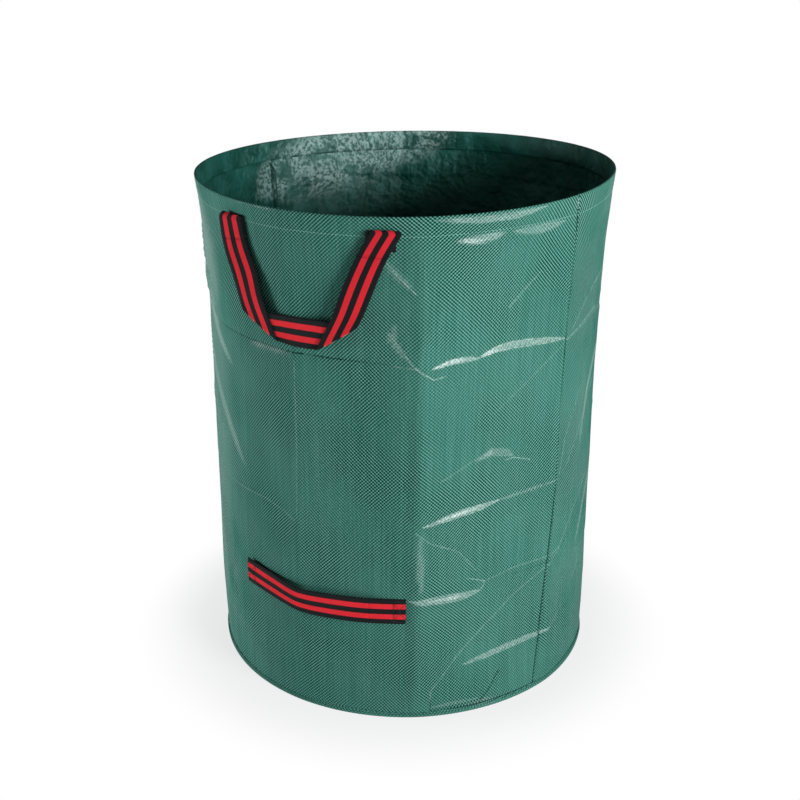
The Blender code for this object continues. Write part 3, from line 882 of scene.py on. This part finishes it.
def make_wall(name, first_seam, last_seam, node):
    heights, inwards, lengths = hem_profile()
    rim_row = int(np.argmax(heights))
    inner_ply = np.arange(len(heights)) > rim_row
    span = float(last_seam(SEAM_LEVEL) - first_seam(SEAM_LEVEL))
    width = span * WAIST_RADIUS
    near = np.array(EDGE_COLUMNS) / width
    shares = np.concatenate([near, np.linspace(0, 1, round(span / COLUMN) + 1)[1:-1], 1 - near[::-1]])
    allowance = np.array(ALLOWANCE_COLUMNS)
    shares = np.concatenate([0 * allowance, shares, 1 + 0 * allowance])[:, None]
    reach = np.concatenate([allowance, np.zeros(len(shares) - 2 * len(allowance)), allowance[::-1]])[:, None]

    gap, gape_height, gape_reach = SEAM_GAPE
    gape = SEAM_GAP + gap * np.exp(-(((heights - gape_height) / gape_reach) ** 2))
    swing = gape / 2 / WAIST_RADIUS
    first, last = first_seam(heights) + swing, last_seam(heights) - swing
    azimuths = first + (last - first) * shares
    under_hem = np.clip((HEM_FLOOR - PRESS_START - heights) / PRESS_REACH, PRESSED, 1)
    under_hem = under_hem * np.where(inner_ply, PRESSED_IN_HEM, 1)
    turned = SEAM_TURN_IN * np.exp(-np.minimum(shares, 1 - shares) * width / SEAM_TURN_WIDTH)
    turned = turned * np.where(inner_ply, TURN_IN_HEM, 1) + SEAM_ALLOWANCE * reach * under_hem
    points = standing(azimuths, heights, -inwards - turned)
    edge = np.sign(shares - 0.5) * SEAM_ALLOWANCE * reach
    metres = np.stack(np.broadcast_arrays(wall_across(np.degrees(azimuths)) + edge, lengths), -1)
    panel = shaped_grid(name, points, metres, [WALL_WOVEN, FILM, FILM], lambda row: int(row > rim_row))
    degrees = one_turn(np.degrees(azimuths))
    across, up = degrees * MM_PER_DEGREE, np.broadcast_to(heights * 1000, degrees.shape)
    # Painted sheen and highlights on the outside, and a painted glint on the film inside
    outside = np.where(inner_ply, 0, painted_sheen_marks(across, up, LEDGE_HIGHLIGHTS + SHEEN_STREAKS))
    for mark, amount in ((PAINTED_SHEEN, outside), (GLINT, painted_sheen_marks(across, up, FILM_GLINT_STREAKS))):
        attribute = panel.data.attributes.new(mark, "FLOAT", "POINT")
        attribute.data.foreach_set("value", amount[grid_places(panel, amount.shape)].ravel())
    thicken(panel, CLOTH, -1, 1)
    place_on(panel, "bag", "woven_cloth", node)
    print(name, len(panel.data.polygons), "faces")
    return panel


wall_front = make_wall("wall_cloth_front", left_seam, right_seam, "wall_panel_front")
wall_back = make_wall("wall_cloth_back", right_seam, lambda z: left_seam(z) + math.tau, "wall_panel_back")

# %% [markdown]
# ## Hoop, base and binding
# A thin plastic strip runs free in the hem and springs the mouth open. The base is a round of the same
# cloth with its edge turned up inside the wall. A square grid maps smoothly onto a round, with no pole in
# its middle. A folded strip binds the seam between them, and follows the wall's own folds.

# %% Hoop, base and binding
HOOP_SECTION = (0.0012, 0.0010, 0.7404, 0.7560)
BASE_CUT = 0.609
BASE_CELLS = 84
BASE_EDGE = 0.007
BASE_LIFT = 0.0009
BASE_INSET = 0.0006

# The parcel's folds across the base: height in mm, the mm to the right and away for each unit, shift, reach
BASE_CREASES = ((2.2, 304, 0, 12, 4), (1.8, 0, 304, -20, 5), (1.4, 215, 215, -60, 5), (1.2, 215, -215, 45, 4))
BASE_CREASE_END = 0.97
BASE_CREASE_FADE = 8
BINDING_HEIGHT = 0.009
BINDING_FOLDED = 0.0013
BINDING_GAP = 0.0003
BINDING_CURL = 0.0022
BINDING_CORNER = 0.0006
BINDING_FOOT = 0.0001
BINDING_SWELL = ((0.35, 0.0003), (0.72, -0.0002))


def make_hoop_finish():
    finish = Finish("hoop_plastic", Specular_IOR_Level=0.4)
    place = finish.node("ShaderNodeTexCoord", None, None, "Object")
    tint = finish.noise(place, 60.0)
    colour = finish.colour(tint, (0.50, 0.51, 0.50), (0.60, 0.61, 0.60))
    return finish.wear(Base_Color=colour, Roughness=tint.step(0.2, 0.8, 0.35, 0.5))


def make_hoop():
    inset, thickness, low, high = HOOP_SECTION
    outer = [(plain_radius(z) - inset, z) for z in (low, high)]
    inner = [(radius - thickness, z) for radius, z in reversed(outer)]
    hoop = spun_ring("rim_hoop_strip", outer + inner, make_hoop_finish())
    return place_on(hoop, "bag", "hoop_plastic", "rim_hoop")


def make_base():
    """A square grid squeezed to a round, with its rim turned up and the parcel's folds across it."""
    side = np.linspace(-1, 1, BASE_CELLS + 1)
    x, y = np.meshgrid(side, side, indexing="ij")
    right, away = x * np.sqrt(1 - y**2 / 2), y * np.sqrt(1 - x**2 / 2)
    share = np.hypot(right, away)
    azimuths = np.arctan2(right, -away)
    outline = standing(azimuths, 0.0, -CLOTH - BASE_INSET)
    flat_radius = np.hypot(outline[..., 0], outline[..., 1])
    length = share * (flat_radius + BASE_EDGE)
    radius = np.minimum(length, flat_radius)
    turned_up = np.maximum(length - flat_radius, 0)
    creases = sum(
        high * np.exp(-np.abs(right * by_right + away * by_away + shift) / reach)
        for high, by_right, by_away, shift, reach in BASE_CREASES
    )
    fade = np.clip((BASE_CREASE_END - share) * BASE_CREASE_FADE, 0, 1)
    lift = BASE_LIFT + creases * fade / 1000 + turned_up
    points = np.stack([radius * np.sin(azimuths), -radius * np.cos(azimuths), lift], -1)
    metres = np.stack([right, away], -1) * BASE_CUT / 2
    base = shaped_grid("base_cloth", points, metres, [FILM, WOVEN])
    thicken(base, CLOTH, -1, 1)
    return place_on(base, "bag", "woven_cloth", "base_panel")


def make_binding():
    inner, height = BASE_RADIUS + BINDING_GAP, BINDING_HEIGHT - BINDING_CURL
    outer, corner, foot = inner + BINDING_FOLDED, BINDING_CORNER, BINDING_FOOT
    section = [(inner, corner), (inner + corner, foot), (outer - corner, foot), (outer, corner)]
    section += [(outer + swell, height * share) for share, swell in BINDING_SWELL]
    section += [(outer, height - corner), (outer - corner, height)]
    section += [(inner + corner, height), (inner, height - corner)]
    binding = spun_ring("base_binding", section, BINDING_CLOTH)
    return place_on(binding, "bag", "binding_cloth", "base_seam_binding")


hoop = make_hoop()
base = make_base()
binding = make_binding()
print("hoop, base and binding:", [len(o.data.polygons) for o in (hoop, base, binding)], "faces")

# %% [markdown]
# ## Thread
# Every seam is a row of short lock stitches. One stitch is a stretched ball of 24 faces, half sunk in the
# cloth, and a row sets one after another along a route, each turned along the route.

# %% Thread
STITCH_PITCH = 0.0050
STITCH_LENGTH = 0.0038
STITCH_LIFT = 0.0002
STITCH_AIM = 0.0005
SEAM_STITCH_IN = 0.0012
THREAD = 0.0010


def make_thread_finish(name, dark, light):
    finish = Finish(name, Specular_IOR_Level=0.3)
    place = finish.node("ShaderNodeTexCoord", None, None, "Object")
    colour = finish.colour(finish.noise(place, 900.0), dark, light)
    return finish.wear(Base_Color=colour, Roughness=finish.noise(place, 500.0).step(0.2, 0.8, 0.45, 0.7))


GREEN_THREAD = make_thread_finish("green_thread", (0.100, 0.300, 0.240), (0.300, 0.520, 0.460))
DARK_THREAD = make_thread_finish("dark_thread", (0.003, 0.014, 0.011), (0.012, 0.040, 0.032))


def at_length(length, lengths, rows):
    """The row at this length along a route, from the rows on either side."""
    return np.array([np.interp(length, lengths, rows[:, k]) for k in range(3)])


def stitch_row(bm, route, pitch=STITCH_PITCH, length=STITCH_LENGTH):
    """Stitches along a fine route of (place, outward direction) rows."""
    places, outwards = route
    lengths = lengths_along(places)
    size = Matrix.Diagonal((length / 2, THREAD / 2, THREAD / 2, 1))
    for start in np.arange(pitch / 2, lengths[-1], pitch):
        before, after = (at_length(start + d, lengths, places) for d in (-STITCH_AIM, STITCH_AIM))
        out = Vector(at_length(start, lengths, outwards)).normalized()
        along = Vector(after - before).normalized()
        side = out.cross(along).normalized()
        turn = Matrix((along, side, along.cross(side))).transposed().to_4x4()
        middle = Vector((before + after) / 2) + out * STITCH_LIFT
        matrix = Matrix.Translation(middle) @ turn @ size
        bmesh.ops.create_uvsphere(bm, u_segments=6, v_segments=4, radius=1, matrix=matrix)


def wall_route(azimuths, heights, out=0.0):
    """A route on the face of the standing wall, with the way that the wall faces there."""
    azimuths, heights = np.broadcast_arrays(azimuths, heights)
    places = standing(azimuths, heights, out)
    return places, places - standing(azimuths, heights, out - 0.004)


def make_stitches(name, routes, material, slot="woven_cloth", **size):
    bm = bmesh.new()
    for route in routes:
        stitch_row(bm, route, **size)
    stitches = link_mesh(name, bm, [material])
    print(name, len(stitches.data.polygons) // 24, "stitches")
    return place_on(stitches, "bag", slot)


HEM_STITCH_HEIGHT = HEM_FLOOR + 0.0035
around = np.linspace(0, math.tau, 720)
up_wall = np.linspace(0.012, HEIGHT - 0.002, 400)
hem_stitches = make_stitches("hem_stitches", [wall_route(around, HEM_STITCH_HEIGHT)], GREEN_THREAD)
seam_routes = [wall_route(seam(up_wall), up_wall, -SEAM_STITCH_IN) for seam in (right_seam, left_seam)]
seam_stitches = make_stitches("seam_stitches", seam_routes, DARK_THREAD, pitch=0.0042, length=0.0028)
base_route = wall_route(around, (BINDING_HEIGHT - BINDING_CURL) * 0.7, BINDING_GAP + BINDING_FOLDED - 0.0002)
base_stitches = make_stitches("base_stitches", [base_route], DARK_THREAD, slot="binding_cloth")

# %% [markdown]
# ## Webbing
# All four straps are one webbing, 40 mm wide, of five bands: black, red, black, red, black. A band is a
# step in the UV's width, so it follows each fold. Fine ribs run across. Each piece is a grid of straight
# rows, made from its two edges, because webbing bends along its length but stays straight across it.

# %% Webbing finish
WEBBING_WIDTH = 0.040
WEBBING_THICKNESS = 0.0014
RIB = 0.00115
RIB_WAVE = 0.0018
EDGE_FRAY = 0.0006
RED_BANDS = ((0.0077, 0.0158), (0.0242, 0.0323))
BLACK_YARN = ((0.002, 0.003, 0.004), (0.013, 0.016, 0.018))
RED_YARN = ((0.640, 0.011, 0.020), (0.880, 0.036, 0.052))


def make_webbing_finish():
    finish = Finish("striped_webbing", Specular_IOR_Level=0.10)
    place, across, along = finish.cloth_place()
    edge = across + (finish.noise(place, 900.0) * EDGE_FRAY - EDGE_FRAY / 2)
    red = 0.0
    for low, high in RED_BANDS:
        red = edge.step(low - 1e-4, low + 1e-4) * edge.step(high + 1e-4, high - 1e-4) + red
    wefts = (along * (math.tau / RIB) + (across * (math.tau / RIB_WAVE)).sine() * 0.9).sine()
    yarn = (finish.noise(place, 700.0) * 0.5 + (wefts * 0.5 + 0.5) * 0.5).step(0.2, 0.8)
    black = finish.colour(yarn, *BLACK_YARN)
    colour = finish.colour(red, black, finish.colour(yarn, *RED_YARN))
    normal = finish.bump(finish.noise(place, 90.0, 2.0), 0.0006)
    normal = finish.bump(wefts * 0.5 + 0.5, 0.0003, normal)
    return finish.wear(Base_Color=colour, Roughness=yarn.step(0, 1, 0.85, 0.65), Normal=normal)


WEBBING = make_webbing_finish()
print("webbing finish:", len(WEBBING.node_tree.nodes), "nodes")

# %% Webbing pieces
THREADS_ACROSS = 12

# Millimetres for a degree at a strap's distance, which spaces a strap's rows evenly
STRAP_DEGREE = 5.4


def side_place(place, turn, mirror):
    """A place (azimuth in degrees, height and stand-off in mm) on the front or the back of the bag."""
    azimuth, height, out = place
    return standing(math.radians(azimuth * mirror) + turn, height / 1000, out / 1000, False)


def straight_row(edge_a, edge_b, cup=0.0):
    """Points straight across from edge to edge; a cup bends both edges back by that much."""
    shares = np.linspace(0, 1, THREADS_ACROSS + 1)[:, None]
    row = edge_a + (edge_b - edge_a) * shares
    middle = (edge_a + edge_b) / 2
    inwards = -middle * (1, 1, 0) / np.hypot(middle[0], middle[1])
    return row + inwards * cup * (2 * shares - 1) ** 2


def smooth_edges(keys, count):
    """Evenly spaced (edge, edge) pairs on smooth curves through the key pairs."""
    keys = np.array(keys, float)
    steps = np.linalg.norm(np.diff(keys.mean(1) * (STRAP_DEGREE, 1, 1), axis=0), axis=1)
    at = np.concatenate([[0], np.cumsum(steps)]) / steps.sum()
    slopes = np.gradient(keys, at, axis=0, edge_order=1)
    pairs = []
    for share in np.linspace(0, 1, count):
        k = min(int(np.searchsorted(at, share, "right")) - 1, len(at) - 2)
        span = at[k + 1] - at[k]
        t = (share - at[k]) / span
        start = (2 * t**3 - 3 * t**2 + 1) * keys[k] + (t**3 - 2 * t**2 + t) * span * slopes[k]
        end = (3 * t**2 - 2 * t**3) * keys[k + 1] + (t**3 - t**2) * span * slopes[k + 1]
        pairs.append(start + end)
    return pairs


def half_turn(front_row, back_row, lean, steps, least=0.0):
    """Rows of a fold from one ply to the other, which reaches out along lean."""
    middle, half = (front_row + back_row) / 2, (front_row - back_row) / 2
    reach = np.maximum(np.linalg.norm(half, axis=1, keepdims=True), least)
    turns = np.linspace(0, math.pi, steps + 2)[1:-1]
    return [middle + half * math.cos(turn) + lean * reach * math.sin(turn) for turn in turns]


def webbing_piece(name, rows):
    """Webbing through these rows. The middle of each row measures the length along it."""
    points = np.array(rows)
    middles = points[:, THREADS_ACROSS // 2]
    lengths = lengths_along(middles)
    shares = np.linspace(0, WEBBING_WIDTH, THREADS_ACROSS + 1)
    metres = np.stack(np.meshgrid(shares, lengths, indexing="ij"), -1)
    piece = shaped_grid(name, points.transpose(1, 0, 2), metres, [WEBBING])
    return thicken(piece, WEBBING_THICKNESS, 0)


print("webbing:", THREADS_ACROSS, "columns across")

# %% [markdown]
# ## Carry handles
# A carry handle hangs folded down in front of its sewn ends. Each leg runs down to a corner, where the
# webbing folds over on a diagonal, and the bar goes across behind the legs. The left leg leans more and
# turns away, as in the photograph. The strap moves with the hinge. The stretch from the sewn end over the
# fold is a piece of its own. The back of the rim stands higher, so the back strap's bend is longer: lifted,
# its stiff part then begins above the rim.

# %% Carry handles
ROOT_LEVEL = 736
LEAD_LEVELS = {"front": 708, "back": 682}
LEFT_LEG = [
    ((-22.9, 732, 13.0), (-15.8, 734, 3.8)),
    ((-22.6, 711, 14.0), (-15.3, 714, 3.4)),
    ((-22.1, 694, 14.5), (-14.7, 699, 3.5)),
    ((-19.5, 654, 15.0), (-12.0, 662, 5.0)),
    ((-17.6, 618, 14.2), (-9.8, 622, 9.6)),
    ((-16.9, 606, 13.5), (-6.4, 572, 7.7)),
]
RIGHT_LEG = [
    ((15.5, 608, 8.5), (5.1, 570, 9.5)),
    ((17.1, 625, 9.0), (9.4, 618, 9.0)),
    ((19.2, 655, 9.5), (11.6, 651, 8.0)),
    ((21.4, 688, 10.0), (14.1, 685, 7.0)),
    ((23.1, 710, 11.0), (16.2, 711, 6.0)),
    ((25.6, 737, 11.0), (18.9, 739, 5.0)),
]
LEG_ROWS = 34
BAR_ROWS = 24
BAR = [
    ((-16.9, 606, 11.4), (-6.4, 572, 5.6)),
    ((-10.4, 608.5, 7.6), (-4.2, 570, 4.6)),
    ((-5.0, 610, 5.0), (-2.4, 569, 4.4)),
    ((0.5, 611, 4.6), (-0.4, 568.5, 4.4)),
    ((8.0, 611.5, 6.2), (2.6, 569, 5.8)),
    ((15.5, 608, 6.4), (5.1, 570, 7.4)),
]
LEG_CUP = 0.0012
CORNER_STEPS = 5
OVER_STEPS = 9
OVER_REACH = 0.0034
ROUTE_STEPS = 12
SEWN_OUT = 1.3
SEWN_PLY = 1.6
SEWN_ROWS = 10
SEWN_INSET = 2
BOX_STITCH_PITCH = 0.0034
BOX_STITCH_LENGTH = 0.0026
SEWN_TOP = 737
SEWN_FOOT = 712
SEWN_SHIFTS = {"left": 0.5, "right": -1.2}
ROOTS = {"left": (-22.9, -15.8), "right": (25.6, 18.9)}


def to_rows(pairs, turn, mirror, cup=0.0):
    return [straight_row(*(side_place(edge, turn, mirror) for edge in pair), cup) for pair in pairs]


def corner_fold(leg_row, bar_row, bar_way):
    """The rounded edge of a diagonal fold, which points away from the bar."""
    crease = leg_row[-1] - leg_row[0]
    out = (leg_row - bar_row).mean(0)
    lean = np.cross(crease, out)
    lean /= np.linalg.norm(lean)
    if lean @ bar_way > 0:
        lean = -lean
    return half_turn(leg_row, bar_row, lean, CORNER_STEPS)


def carry_strap_rows(lead_level, turn, mirror):
    """The rows of the part that swings: left leg, corner, bar, corner and right leg."""
    lead = [pair for pair in smooth_edges(LEFT_LEG, LEG_ROWS) if pair[0][1] <= lead_level]
    tail = [pair for pair in smooth_edges(RIGHT_LEG, LEG_ROWS) if pair[0][1] <= lead_level]
    bar = smooth_edges(BAR, BAR_ROWS)
    parts = ((lead, LEG_CUP), (bar, 0), (tail, LEG_CUP))
    left, middle, right = (to_rows(part, turn, mirror, cup) for part, cup in parts)
    way = middle[-1].mean(0) - middle[0].mean(0)
    first_fold = corner_fold(left[-1], middle[0], way)
    last_fold = corner_fold(right[0], middle[-1], -way)[::-1]
    return left + first_fold + middle + last_fold + right


def carry_bend_rows(leg, root, shift, lead_level, turn, mirror):
    """From the strap's start up the front ply, over the top and down to the sewn end."""
    pairs = smooth_edges(leg, LEG_ROWS)
    pairs = pairs if pairs[0][0][1] < pairs[-1][0][1] else pairs[::-1]
    first = sum(pair[0][1] <= lead_level for pair in pairs) - 1
    front = to_rows(pairs[first:], turn, mirror, LEG_CUP)
    root_pair = [(azimuth + shift, ROOT_LEVEL, SEWN_OUT + SEWN_PLY) for azimuth in root]
    sewn = to_rows([root_pair], turn, mirror)[0]
    over = half_turn(front[-1], sewn, np.array((0, 0, 1.0)), OVER_STEPS, OVER_REACH)
    return front + over + [sewn]


def sewn_end_rows(root, shift, turn, mirror):
    """The end of the webbing, flat on the wall, sewn a little nearer the handle's middle."""
    degrees = np.linspace(root[0] + shift, root[1] + shift, THREADS_ACROSS + 1)
    azimuths = np.radians(degrees) * mirror + turn
    heights = np.linspace(SEWN_FOOT, SEWN_TOP, SEWN_ROWS) / 1000
    return [standing(azimuths, height, SEWN_OUT / 1000) for height in heights]


def box_routes(rows, inset):
    """Stitch routes round a sewn end and across it, on its outer face, from inset rows up."""
    grid = np.array(rows)
    outwards = grid * (1, 1, 0)
    outwards /= np.linalg.norm(outwards, axis=2, keepdims=True)
    last_row, last_column = grid.shape[0] - 1, THREADS_ACROSS - 1
    corners = [(inset, 1), (inset, last_column), (last_row, last_column), (last_row, 1), (inset, 1)]
    corners += [(last_row, last_column), (inset, last_column), (last_row, 1)]
    routes = []
    for (r0, c0), (r1, c1) in zip(corners, corners[1:]):
        r = np.linspace(r0, r1, ROUTE_STEPS).round().astype(int)
        c = np.linspace(c0, c1, ROUTE_STEPS).round().astype(int)
        picked, out = grid[r, c], outwards[r, c]
        share = np.linspace(0, 1, ROUTE_STEPS)[:, None]
        line = picked[0] + (picked[-1] - picked[0]) * share
        bulge = (picked - line) * (1, 1, 0)
        routes.append((line + bulge + out * WEBBING_THICKNESS / 2, out))
    return routes


def clearance(piece):
    """How far the nearest point of a strap's middle lies outside the folded wall, in mm, and where."""
    places = np.array([v.co for v in piece.data.vertices])
    azimuths = np.arctan2(places[:, 0], -places[:, 1])
    wall = standing(azimuths, places[:, 2])
    gaps = (np.hypot(places[:, 0], places[:, 1]) - np.hypot(wall[:, 0], wall[:, 1])) * 1000
    worst = int(np.argmin(gaps))
    return round(float(gaps[worst]), 2), round(math.degrees(azimuths[worst]), 1), round(places[worst][2], 3)


def node_name(side_name, kind, hand, part, mirror):
    """The solid that this piece stands for; on a mirrored handle left and right change places."""
    other = {"left": "right", "right": "left"}
    return f"{side_name}_{kind}_handle_{hand if mirror > 0 else other[hand]}_{part}"


def make_bend(side_name, kind, hand, part, rows, mirror):
    """A stretch of strap between its sewn end and its moving middle; it stands for its solid but rides on no
    body.
    """
    bend = webbing_piece(f"{side_name}_{kind}_{part}_{hand}", rows)
    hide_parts(node_name(side_name, kind, hand, part, mirror))
    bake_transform(bend)


def make_sewn_end(side_name, kind, hand, rows, inset, mirror):
    """A strap's sewn end, flat on the wall, and the box of stitches that holds it."""
    sewn = webbing_piece(f"{side_name}_{kind}_end_{hand}", rows)
    place_on(sewn, "bag", "webbing", node_name(side_name, kind, hand, "end", mirror))
    name = f"{side_name}_{kind}_stitches_{hand}"
    routes = box_routes(rows, inset)
    make_stitches(name, routes, DARK_THREAD, slot="webbing", pitch=BOX_STITCH_PITCH, length=BOX_STITCH_LENGTH)


def make_carry_handle(side_name, turn, mirror):
    lead_level = LEAD_LEVELS[side_name]
    strap = webbing_piece(f"{side_name}_carry_strap", carry_strap_rows(lead_level, turn, mirror))
    place_on(strap, f"{side_name}_carry", "webbing", f"{side_name}_carry_handle")
    for hand, leg in (("left", LEFT_LEG), ("right", RIGHT_LEG)):
        root, shift = ROOTS[hand], SEWN_SHIFTS[hand]
        bend_rows = carry_bend_rows(leg, root, shift, lead_level, turn, mirror)
        make_bend(side_name, "carry", hand, "bend", bend_rows, mirror)
        make_sewn_end(side_name, "carry", hand, sewn_end_rows(root, shift, turn, mirror), SEWN_INSET, mirror)
    print(side_name, "carry handle:", [round(x, 3) for x in strap.dimensions], "clear by", clearance(strap))


SIDES = (("front", 0.0, 1), ("back", math.pi, -1))
for side_name, turn, mirror in SIDES:
    make_carry_handle(side_name, turn, mirror)

# %% [markdown]
# ## Tipping handles
# The lower handle is a straight length of webbing, sewn at both ends and slack between, so it stands off
# and droops. Its middle pulls out with the hand; the slack stretches are pieces of their own.

# %% Tipping handles
TIPPING_ROWS = [
    ((-23.8, 204.5, 1.3), (-23.8, 165, 1.3)),
    ((-20.1, 204.3, 1.4), (-20.1, 165, 1.4)),
    ((-16.0, 203.5, 2.2), (-16.0, 164.4, 2.0)),
    ((-11.0, 202.4, 4.8), (-11.0, 163.4, 4.0)),
    ((-6.5, 200.8, 9.0), (-6.5, 161.8, 6.6)),
    ((-3.0, 199.6, 11.6), (-3.0, 160.4, 8.4)),
    ((0.5, 199.2, 10.4), (0.5, 159.6, 7.4)),
    ((5.0, 199.4, 7.4), (5.0, 159.6, 6.0)),
    ((10.0, 199.6, 5.4), (10.0, 159.7, 4.8)),
    ((16.0, 199.6, 4.0), (16.0, 159.7, 3.6)),
    ((20.0, 199.4, 2.4), (20.0, 159.5, 2.2)),
    ((23.5, 199.2, 1.3), (23.5, 159.2, 1.3)),
    ((27.2, 199.2, 1.3), (27.2, 159.2, 1.3)),
]
TIPPING_ROW_COUNT = 110
TIPPING_CUP = 0.0005
TIPPING_BREAKS = (-20.1, -13.6, 17.0, 23.5)


def tipping_parts(turn, mirror):
    """The handle's rows, cut into sewn end, slack, grip, slack and sewn end."""
    pairs = smooth_edges(TIPPING_ROWS, TIPPING_ROW_COUNT)
    edges = [-math.inf, *TIPPING_BREAKS, math.inf]
    parts = []
    for low, high in zip(edges, edges[1:]):
        inside = [n for n, pair in enumerate(pairs) if low <= pair[0][0] < high]
        reach = range(inside[0], min(inside[-1] + 2, len(pairs)))
        parts.append(to_rows([pairs[n] for n in reach], turn, mirror, TIPPING_CUP))
    return parts


def make_tipping_handle(side_name, turn, mirror):
    first_end, first_slack, grip_rows, last_slack, last_end = tipping_parts(turn, mirror)
    grip = webbing_piece(f"{side_name}_tipping_grip", grip_rows)
    place_on(grip, f"{side_name}_tipping", "webbing", f"{side_name}_tipping_handle")
    for hand, end_rows, slack_rows in (("left", first_end, first_slack), ("right", last_end, last_slack)):
        first, last = tuple(slack_rows[0].mean(0)), tuple(slack_rows[-1].mean(0))
        start, end = (first, last) if hand == "left" else (last, first)
        make_bend(side_name, "tipping", hand, "slack", slack_rows, mirror)
        make_sewn_end(side_name, "tipping", hand, end_rows, 0, mirror)
    print(side_name, "tipping handle:", [round(x, 3) for x in grip.dimensions], "clear by", clearance(grip))


for side_name, turn, mirror in SIDES:
    make_tipping_handle(side_name, turn, mirror)

# %% [markdown]
# ## The cloth's cuts
# Each wall panel was cut as a rectangle: half the way round plus two seam allowances, and the height plus
# the hem and the base allowance. The base was cut as a round.

# %% Sheets
print("cuts: two wall panels and a round base")

# %% [markdown]
# ## Studio
# White paper under and behind the bag, a soft box from the right, one from the left and a weaker one from
# behind. The paper's white comes from its own colour and a glow towards the camera, not from more light on
# the bag, so the bag's shadow stays soft and grey near it. Further out the glow takes over.

# %% Studio
PAPER = (0.92, 0.92, 0.92)
WORLD_LIGHT = 0.07
LAMP_AIM = 0.4

# The glow's share near the bag and far from it, and the distances from its axis between which it rises
GLOW_SHARES = (0.74, 1.0)
GLOW_DISTANCES = (0.31, 0.46)


def make_paper():
    finish = Finish("studio_paper", Roughness=0.9, Specular_IOR_Level=0.0, Base_Color=(*PAPER, 1))
    glow = finish.node("ShaderNodeEmission", None, {"Color": (1, 1, 1, 1), "Strength": 1.0})
    rays = finish.node("ShaderNodeLightPath", None, None, "Is Camera Ray")
    seen = rays.larger(Wire(finish, rays.socket.node.outputs["Is Glossy Ray"]))
    seen = seen.larger(Wire(finish, rays.socket.node.outputs["Is Transmission Ray"]))
    place = finish.node("ShaderNodeTexCoord", None, None, "Object")
    distance = finish.node("ShaderNodeVectorMath", {"operation": "LENGTH"}, {0: place}, "Value")
    share = seen * distance.step(*GLOW_DISTANCES, *GLOW_SHARES)
    diffuse = Wire(finish, finish.shader.outputs[0])
    mixed = finish.node("ShaderNodeMixShader", None, {0: share, 1: diffuse, 2: glow})
    finish.tree.links.new(mixed.socket, finish.tree.nodes["Material Output"].inputs["Surface"])
    return finish.material


def make_floor():
    bm = bmesh.new()
    bmesh.ops.create_circle(bm, cap_ends=True, segments=96, radius=60.0)
    floor = link_mesh("studio_floor", bm, [make_paper()])


def make_world():
    """Dim white air for light, plain white to the camera."""
    world = bpy.data.worlds.new("studio_air")
    world.use_nodes = True
    bpy.context.scene.world = world
    tree = world.node_tree
    dim = tree.nodes["Background"]
    dim.inputs["Color"].default_value = (1, 1, 1, 1)
    dim.inputs["Strength"].default_value = WORLD_LIGHT
    white = tree.nodes.new("ShaderNodeBackground")
    white.inputs["Color"].default_value = (1, 1, 1, 1)
    rays = tree.nodes.new("ShaderNodeLightPath")
    mix = tree.nodes.new("ShaderNodeMixShader")
    tree.links.new(rays.outputs["Is Camera Ray"], mix.inputs[0])
    tree.links.new(dim.outputs[0], mix.inputs[1])
    tree.links.new(white.outputs[0], mix.inputs[2])
    tree.links.new(mix.outputs[0], tree.nodes["World Output"].inputs["Surface"])


def soft_box(name, turn, elevation, distance, width, height, power):
    """A lamp that faces the bag's middle. Turn is measured round from the camera, to the right."""
    lamp = bpy.data.lights.new(name, "AREA")
    lamp.shape = "RECTANGLE"
    lamp.size = width
    lamp.size_y = height
    lamp.energy = power
    box = bpy.data.objects.new(name, lamp)
    bpy.context.scene.collection.objects.link(box)
    azimuth = CAMERA_AZIMUTH + math.radians(turn)
    rise = math.radians(elevation)
    flat = math.cos(rise)
    direction = Vector((math.sin(azimuth) * flat, -math.cos(azimuth) * flat, math.sin(rise)))
    box.location = Vector((0, 0, LAMP_AIM)) + direction * distance
    box.rotation_euler = direction.to_track_quat("Z", "Y").to_euler()
    box.visible_camera = False


make_floor()
make_world()
soft_box("key_box", 42, 12, 2.6, 0.9, 0.8, 66)
soft_box("fill_box", -88, 1, 3.0, 1.4, 0.8, 66)
soft_box("back_box", 178, 1, 3.2, 1.8, 0.8, 44)
bpy.context.scene.view_settings.view_transform = "Standard"
print("studio: floor, air and three lamps")
